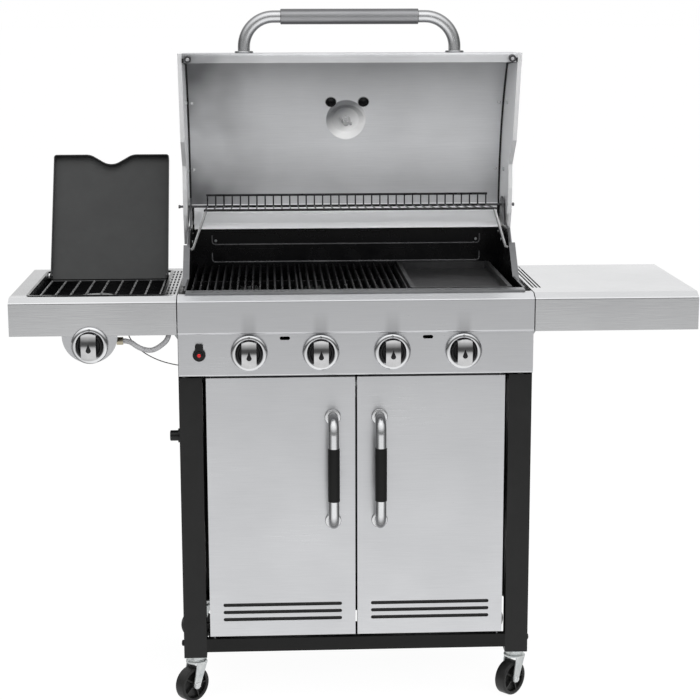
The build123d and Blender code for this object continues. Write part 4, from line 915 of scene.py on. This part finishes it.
def knob_lever(x, y, z):
    """Bar whose front is an arc: a section at the lower end, spun up to the other end."""
    deselect()
    centre = Vector((x, y - lever_front + crown_radius, z))
    sweep = math.asin(lever_half / crown_radius) * crown_overrun
    middle = crown_radius - lever_thick / 2
    bpy.ops.mesh.primitive_plane_add(
        size=1.0,
        location=centre + Vector((0, -middle * math.cos(sweep), -middle * math.sin(sweep))),
        rotation=(sweep, 0, 0),
    )
    lever = bpy.context.object
    lever.scale = (lever_width, lever_thick, 1.0)
    edit_whole(fix_place(lever))
    bpy.ops.mesh.spin(steps=20, angle=2 * sweep, center=centre, axis=rightward)
    face_outward()
    trimmer = cylinder(96, lever_half, 2 * crown_radius, (x, y - lever_front, z), front_turn)
    apply_modifier(lever, "BOOLEAN", operation="INTERSECT", object=trimmer, solver="EXACT")
    bpy.data.objects.remove(trimmer)
    soften(lever, 0.0016, 4, 40.0)
    return lever


def drop_mark(x, y, z):
    """Round plate whose upper half is drawn up to a point."""
    deselect()
    foot = z - mark_drop
    bpy.ops.mesh.primitive_circle_add(
        vertices=32,
        radius=mark_radius,
        fill_type="NGON",
        location=(x, y - lever_front - mark_lift, foot),
        rotation=front_turn,
    )
    mark = fix_place(bpy.context.object)
    for point in mark.data.vertices:
        rise = point.co.z - foot
        if rise > 0:
            point.co.x = x + (point.co.x - x) * (1.0 - mark_taper * rise / mark_radius)
            point.co.z += rise * mark_draw
    edit_whole(mark)
    bpy.ops.mesh.extrude_region_move(TRANSFORM_OT_translate={"value": (0, mark_depth, 0)})
    face_outward()
    soften(mark, 0.0003, 2)
    return mark


for number, place in enumerate(knob_rows, start=1):
    body = f"knob_{number}"
    disc = settle(knob_disc(*place), f"{body}_disc", body, black_plastic)
    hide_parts(body)
    settle(knob_lever(*place), f"{body}_lever", body, lever_plate, 50.0)
    settle(drop_mark(*place), f"{body}_mark", body, black_plastic)

# Bezels: a rounded ring on a bright plate, with a small ring mark above
ring_major, ring_minor, ring_depth = 0.0291, 0.0069, 0.0064
ring_out, plate_out, dot_out, dot_rise = 0.0024, 0.0012, 0.0088, 0.0308
for number, (x, y, z) in enumerate(knob_rows, start=1):
    ring = torus(96, 28, ring_major, ring_minor)
    ring.scale = (1.0, 1.0, ring_depth / ring_minor)
    face_along(fix_place(ring), (x, y - ring_out, z), ahead)
    settle(ring, f"knob_bezel_{number}", "cart", chrome, 80.0)
    if number == 1:
        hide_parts("knob_bezels")
    plate = cylinder(72, ring_major, 0.0016)
    soften(plate, 0.0004, 2)
    face_along(plate, (x, y - plate_out, z), ahead)
    settle(plate, f"bezel_plate_{number}", "cart", lever_plate)
ring_mark = torus(32, 8, 0.0019, 0.00035)
for number, (x, y, z) in enumerate(knob_rows, start=1):
    mark = copy_of(ring_mark, (x, y - dot_out, z + dot_rise), (0, -1, 0.15))
    settle(mark, f"bezel_mark_{number}", "cart", black_plastic)
bpy.data.objects.remove(ring_mark)

# Handles and grips with smooth tubes, wheels and forks with softened edges
low, high = box_ends("lid_handle")
lid_seat = Vector((0.0, (low.y + high.y) / 2, low.z))
tube_handle(
    "lid_handle", "lid", lid_seat, rightward, upward,
    span=0.426, reach=0.072, bend=0.06, diameter=0.025, rosette=0.038,
)
smooth_copy("lid_handle_grip", "lid", grip_metal)
for side, word in sides:
    low, high = box_ends(f"{word}_door_handle")
    door_seat = Vector(((low.x + high.x) / 2, high.y, (low.z + high.z) / 2))
    tube_handle(
        f"{word}_door_handle", f"{word}_door", door_seat, upward, ahead,
        span=0.21, reach=0.048, bend=0.027, diameter=0.021, rosette=0.032,
    )
    smooth_copy(f"{word}_door_grip", f"{word}_door", grip_sleeve)
forks = {}
for corner in corners:
    forks[corner] = smooth_copy(f"caster_fork_{corner}", f"fork_{corner}", zinc, 0.0008)
    smooth_copy(f"caster_wheel_{corner}", f"wheel_{corner}", tyre, 0.0012)
smooth_copy("caster_plates", "cart", zinc, 0.0006)

# Axle nuts, seated on the forks a little above the bore
nut_height = 0.0026
bore_clear = upward * 0.006
fork_clear = 0.06
for corner in corners:
    axle = Vector(joints[f"wheel_spin_{corner}"]["axis"])
    start = joint_place(f"wheel_spin_{corner}") + bore_clear
    for side, word in ((-1, "inner"), (1, "outer")):
        point, _ = seat_on(forks[corner], start + axle * side * fork_clear, axle * -side)
        nut = standing(6, 0.0072, nut_height)
        soften(nut, 0.0005, 2)
        face_along(nut, point - bore_clear, axle * side)
        settle(nut, f"axle_nut_{corner}_{word}", f"fork_{corner}", bright_wire)

# Lid: plugs over the gauge, screws and rivets, with screws in the fire box and bolts on the legs
plug_middle, plug_half, plug_z = 0.002, 0.0345, 1.1835
end_inner = box_ends("lid_shell")[1].x
rivet_x, rivet_drop = 0.3255, 0.003
lid_screw_spots = ((0.142, 1.184), (0.183, 1.04))
box_side_spot = (box_ends("firebox")[1].x, 0.152, 0.893)
box_back_spot = (0.281, 0.2115, 0.887)
leg_outer = box_ends("right_side_panel")[1].x
bolt_z, bolt_depths = 0.118, (-0.165, 0.18)


def lid_plug():
    """Round cap with a sunk ring."""
    plug = cylinder(48, 0.0112, 0.004, (0, 0, 0.001))
    press(plug, [(0.0022, 0.0004), (0.0012, -0.0022), (0.003, 0.0012)])
    soften(plug, 0.0004, 2)
    return plug


def seat_on_lid(x, z):
    """Place and normal on the lid's inside."""
    return seat_on(cad["lid_shell"], (x, -1.0, z), -ahead)


plug = lid_plug()
plug_ring = torus(48, 10, 0.0114, 0.0011)
screw = screw_head(0.0048, 0.0022)
bolt = screw_head(0.0062, 0.0042)
small_screw = screw_head(0.003, 0.0014)
rivet = ball(28, 0.0042, (1.0, 1.0, 0.5))
for side, word in sides:
    seat = seat_on_lid(plug_middle + side * plug_half, plug_z)
    settle(copy_of(plug, *seat), f"lid_plug_{word}", "lid", black_plastic)
    settle(copy_of(plug_ring, *seat), f"lid_plug_ring_{word}", "lid", bright_wire)
    inward = rightward * -side
    for count, (y, z) in enumerate(lid_screw_spots, start=1):
        head = copy_of(screw, (side * end_inner, y, z), inward)
        settle(head, f"lid_screw_{word}_{count}", "lid", zinc)
        head = copy_of(rivet, *seat_on_lid(side * rivet_x, z - rivet_drop))
        settle(head, f"lid_rivet_{word}_{count}", "lid", bright_wire)
    box_screws = ((box_side_spot, inward), (box_back_spot, ahead))
    for count, ((x, y, z), axis) in enumerate(box_screws, start=1):
        head = copy_of(small_screw, (side * x, y, z), axis)
        settle(head, f"box_screw_{word}_{count}", "cart", zinc)
    for count, y in enumerate(bolt_depths, start=1):
        head = copy_of(bolt, (side * leg_outer, y, bolt_z), -inward)
        settle(head, f"leg_bolt_{word}_{count}", "cart", black_paint)
for spare in (plug, plug_ring, screw, bolt, small_screw, rivet):
    bpy.data.objects.remove(spare)

# Ringed bumpers under the lid's lip, each with a small cap
bumper_axis = Vector((0.0, -0.98876, -0.14954))
bumper_x, bumper_y, bumper_z = 0.3245, 0.00151, 1.27791
cap_rise = 0.0096


def lid_bumper():
    bumper = standing(48, 0.0072, 0.0114)
    press(bumper, [(0.0022, 0.0), (0.0006, -0.0025), (0.0008, 0.0018)])
    soften(bumper, 0.0006, 2)
    return bumper


for side, word in sides:
    base = Vector((side * bumper_x, bumper_y, bumper_z))
    bumper = face_along(lid_bumper(), base, bumper_axis)
    settle(bumper, f"lid_bumper_{word}", "lid", bumper_rubber)
    if side < 0:
        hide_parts("lid_bumpers")
    cap = cylinder(40, 0.0037, 0.003)
    soften(cap, 0.0008)
    face_along(cap, base + bumper_axis * cap_rise, bumper_axis)
    settle(cap, f"lid_bumper_cap_{word}", "lid", grey_rubber)

# Plates: the rolled rear edge's front lip, tails under the lid's ends, and edges of the fire box's ends
roll_lip = [(0.1782, 0.9264), (0.1778, 0.9283), (0.15, 0.9211), (0.1505, 0.9192)]
lip_width = 0.648
side_plate("lid_roll_lip", roll_lip, 0.0, lip_width, "lid", "stainless", lid_steel)
tail_outline = [(0.119, 0.952), (0.143, 0.889), (0.15, 0.884)]
tail_outline += [(0.158, 0.886), (0.178, 0.928), (0.15, 0.9215)]
tail_hem = [(0.119, 0.952), (0.122, 0.953), (0.146, 0.89), (0.143, 0.889)]
rise_outline = [(0.036, 0.896), (0.066, 0.926), (0.072, 0.93), (0.128, 0.93), (0.126, 0.9)]
rise_edge = [(0.04, 0.9), (0.043, 0.897), (0.0705, 0.9245), (0.0675, 0.9275)]
ear_back = [(0.205, 0.905), (0.2065, 0.905), (0.2065, 0.962), (0.205, 0.962)]
end_plates = (
    ("lid_tail", tail_outline, 0.338, 0.003, "lid", "stainless", end_steel),
    ("lid_tail_hem", tail_hem, 0.34075, 0.0085, "lid", "stainless", end_steel),
    ("end_plate_rise", rise_outline, 0.331, 0.004, "cart", "enamel", ear_plate),
    ("end_plate_edge", rise_edge, 0.3325, 0.006, "cart", "enamel", ear_plate),
    ("end_plate_back", ear_back, 0.331, 0.0104, "cart", "enamel", enamel),
)
for side, word in sides:
    for name, outline, x, *rest in end_plates:
        side_plate(f"{name}_{word}", outline, side * x, *rest)

# Warming rack in round wire
rack_half = 0.298
rack_bar = 0.005
rack_front = (0.003, 0.975)
rack_rear = (0.1607, 0.966)
rack_bend = 0.006
fence_top = 0.99
wire_count = 35
lean = Vector((0, rack_front[0] - rack_rear[0], rack_front[1] - rack_rear[1])).normalized()
rack_runs = []
for count in range(wire_count):
    x = (rack_half - rack_bar / 2) * (2 * count / (wire_count - 1) - 1)
    run = [(x, *rack_front)]
    run += bend_points((x, *rack_rear), lean, upward, rack_bend)
    run.append((x, rack_rear[0], fence_top))
    rack_runs.append(run)
rack = round_bar("rack_wires", rack_runs, 0.003, "cart", wire_plate)
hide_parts("warming_rack")
bars = [
    [(-rack_half, y, z), (rack_half, y, z)]
    for y, z in (rack_front, rack_rear, (rack_rear[0], fence_top))
]
round_bar("rack_bars", bars, rack_bar, "cart", wire_plate)
leg_spots = ((rack_half - rack_bar, *rack_front), (0.3225, 0.046, 0.892), (0.3275, 0.046, 0.89))
legs = [[(side * x, y, z) for x, y, z in leg_spots] for side in (-1, 1)]
round_bar("rack_legs", legs, 0.0056, "cart", bright_wire)

# Side grate in round wire, and a nut on each pin of the side lid
grate_bar, grate_bars = 0.004, 9
low, high = box_ends("side_burner_grate")
left, right = low.x + grate_bar / 2, high.x - grate_bar / 2
front, rear = low.y + grate_bar / 2, high.y - grate_bar / 2
top = high.z - grate_bar / 2
grate_runs = []
for count in range(grate_bars):
    x = left + count * (right - left) / (grate_bars - 1)
    grate_runs.append([(x, front, top), (x, rear, top)])
grate_wires = round_bar("side_grate_wires", grate_runs, grate_bar, "cart", grate_wire)
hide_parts("side_burner_grate")
frame_runs = [[(left, y, top), (right, y, top)] for y in (front, rear)]
frame_runs += [[(x, y, top), (x, y, low.z)] for x in (left, right) for y in (front, rear)]
round_bar("side_grate_frame", frame_runs, grate_bar, "cart", wire_plate)
side_hinge = joint_place("side_lid_hinge")
nut_out = 0.1252
for side, word in sides:
    nut = cylinder(6, 0.0058, 0.004, side_hinge + rightward * side * nut_out, side_turn)
    soften(nut, 0.0006, 2)
    settle(nut, f"side_pin_nut_{word}", "cart", bright_wire)

# Fire box: pressed beads round the two panels of its back, in grey lighter than its black enamel: a painted
# highlight on the pressed edges
bead_half, bead_round, bead_y = 0.289, 0.008, 0.2115
for word, high, low in (("upper", 0.907, 0.879), ("lower", 0.869, 0.841)):
    run = [(-bead_half, bead_y, high - bead_round)]
    run += bend_points((-bead_half, bead_y, low), upward, rightward, bead_round)
    run += bend_points((bead_half, bead_y, low), -rightward, upward, bead_round)
    run.append((bead_half, bead_y, high - bead_round))
    round_bar(f"back_bead_{word}", [run], 0.003, "cart", bead_highlight_enamel)

# Dark seams where the lid's shell meets its end panels
seam_x, seam_foot, seam_step = 0.3345, 0.956, 0.007
for side, word in sides:
    spots = [seat_on_lid(side * seam_x, seam_foot + step * seam_step)[0] for step in range(47)]
    run = [spot for spot in spots if spot.length]
    round_bar(f"lid_seam_{word}", [run], 0.004, "lid", seam_and_shade_black)

# Painted shade: thin dark plates under the slots of both shelves and behind the louvres of each door, where
# light would show through
shade_plate_thick = 0.001
slot_y, slot_z, slot_run = -0.0275, 0.8293, 0.325
for word, middle, width in (("left", -0.3595, 0.0215), ("right", 0.3605, 0.024)):
    size = (width, slot_run, shade_plate_thick)
    painted_shade_plate(f"slot_shade_plate_{word}", "cart", (middle, slot_y, slot_z), size)
louvre_plate_y, louvre_plate_rise, louvre_plate_height = -0.1886, 0.05, 0.046
door_margin = 0.018
for side, word in sides:
    low, high = box_ends(f"{word}_door")
    middle = ((low.x + high.x) / 2, louvre_plate_y, low.z + louvre_plate_rise)
    width = high.x - low.x - 2 * door_margin
    size = (width, shade_plate_thick, louvre_plate_height)
    painted_shade_plate(f"louvre_shade_plate_{word}", f"{word}_door", middle, size)

# Igniter's lens on its button
dot_sink = 0.0002
low, high = box_ends("igniter_button")
igniter_front = ((low.x + high.x) / 2, low.y + dot_sink, (low.z + high.z) / 2)
dot = ball(32, 0.0038, (1.0, 0.35, 1.0), igniter_front)
settle(dot, "igniter_lens", "igniter_button", red_lens)

# Gauge dial with ticks under its glass, on the lid's back
dial_rise, tick_rise = 0.0034, 0.0037
tick_inner, tick_outer = 0.026, 0.0325
dial = cylinder(64, 0.0345, 0.0006)
press(dial, [(0.003, 0.0)])
face_along(dial, gauge_base + gauge_axis * dial_rise, gauge_axis)
settle(dial, "gauge_dial", "lid", dial_face)
ticks = []
for count in range(11):
    swing = math.radians(-125 + 25 * count)
    way = Vector((math.sin(swing), math.cos(swing), 0))
    ticks.append([way * tick_inner, way * tick_outer])
tick_stand = (gauge_base + gauge_axis * tick_rise, gauge_axis)
round_bar("gauge_ticks", ticks, 0.0012, "lid", black_plastic, tick_stand)

# Floor, backdrop light and lamps
floor_mesh = bpy.data.meshes.new("floor")
floor_reach = 400.0
floor_glow = 1.07
floor_share = 0.9
floor_corners = [(x * floor_reach, y * floor_reach, 0.0) for x, y in ((-1, -1), (1, -1), (1, 1), (-1, 1))]
floor_mesh.from_pydata(floor_corners, [], [(0, 1, 2, 3)])
floor = bpy.data.objects.new("floor", floor_mesh)
scene.collection.objects.link(floor)


def seen_directly(tree):
    """One for a camera, glossy or transmission ray, and zero for a diffuse one."""
    path = tree.nodes.new("ShaderNodeLightPath").outputs
    seen = combine(tree, path["Is Camera Ray"], path["Is Glossy Ray"], "MAXIMUM")
    return path, combine(tree, seen, path["Is Transmission Ray"], "MAXIMUM")


floor_finish = bpy.data.materials.new("studio_floor")
floor_finish.use_nodes = True
tree = floor_finish.node_tree
tree.nodes.remove(tree.nodes["Principled BSDF"])
output = tree.nodes["Material Output"]
path, seen = seen_directly(tree)
matt = tree.nodes.new("ShaderNodeBsdfDiffuse")
matt.inputs["Color"].default_value = (0.8, 0.8, 0.8, 1.0)
glow = tree.nodes.new("ShaderNodeEmission")
place = split_place(tree)
front_fade = spread(tree, place["Y"], -11.0, -1.5, 0.15, 1.0)
ahead_by = combine(tree, 0.6, place["Y"], "SUBTRACT")
aside = combine(tree, size_of(tree, place["X"]), ahead_by, "DIVIDE")
fade = product(tree, front_fade, spread(tree, aside, 0.4, 1.1, 1.0, 0.16))
mirrored = product(tree, path["Is Glossy Ray"], combine(tree, 1.0, fade, "SUBTRACT"))
tree.links.new(combine(tree, floor_glow, mirrored, "SUBTRACT"), glow.inputs["Strength"])
mixer = tree.nodes.new("ShaderNodeMixShader")
tree.links.new(product(tree, seen, floor_share), mixer.inputs[0])
tree.links.new(matt.outputs[0], mixer.inputs[1])
tree.links.new(glow.outputs[0], mixer.inputs[2])
tree.links.new(mixer.outputs[0], output.inputs["Surface"])
floor_mesh.materials.append(floor_finish)

world = bpy.data.worlds.new("studio")
scene.world = world
world.use_nodes = True
tree = world.node_tree
background = tree.nodes["Background"]
background.inputs["Color"].default_value = (1.0, 1.0, 1.0, 1.0)
path, seen = seen_directly(tree)
way = split(tree, tree.nodes.new("ShaderNodeTexCoord").outputs["Generated"])
overhead = spread(tree, way["Z"], 0.2, 0.65, 0.0, 1.0)
behind = spread(tree, way["Y"], 0.0, 0.5, 0.0, 1.0)
backdrop = product(tree, behind, spread(tree, size_of(tree, way["X"]), 0.6, 0.9, 1.0, 0.3))
lit = spread(tree, combine(tree, overhead, backdrop, "MAXIMUM"), 0.0, 1.0, 0.12, 1.0)
zenith = spread(tree, way["Z"], 0.7, 0.95, 0.0, 0.5)
zenith = product(tree, zenith, spread(tree, way["Y"], 0.1, 0.4, 1.0, 0.0))
mirrored = combine(tree, path["Is Camera Ray"], combine(tree, lit, zenith), "MAXIMUM")
fill = 0.5
ambient = product(tree, combine(tree, 1.0, seen, "SUBTRACT"), fill)
strength = combine(tree, product(tree, mirrored, seen), ambient)
tree.links.new(strength, background.inputs["Strength"])


def softbox(name, place, aim, size, power):
    lamp = bpy.data.lights.new(name, "AREA")
    lamp.shape = "RECTANGLE"
    lamp.size, lamp.size_y = size
    lamp.energy = power
    piece = bpy.data.objects.new(name, lamp)
    scene.collection.objects.link(piece)
    piece.location = place
    piece.rotation_euler = (Vector(aim) - Vector(place)).to_track_quat("-Z", "Y").to_euler()
    piece.visible_glossy = False


softbox("top_softbox", (0.2, -0.5, 3.1), (0.0, 0.1, 0.8), (2.6, 1.8), 42.0)
softbox("front_softbox", (0.95, -3.0, 1.9), (0.05, 0.15, 1.12), (1.6, 0.8), 33.0)
softbox("left_softbox", (-2.6, -2.4, 2.2), (0.0, 0.0, 0.8), (1.4, 1.8), 22.0)
softbox("right_softbox", (2.8, -1.6, 2.0), (0.0, 0.0, 0.8), (1.2, 1.8), 14.0)
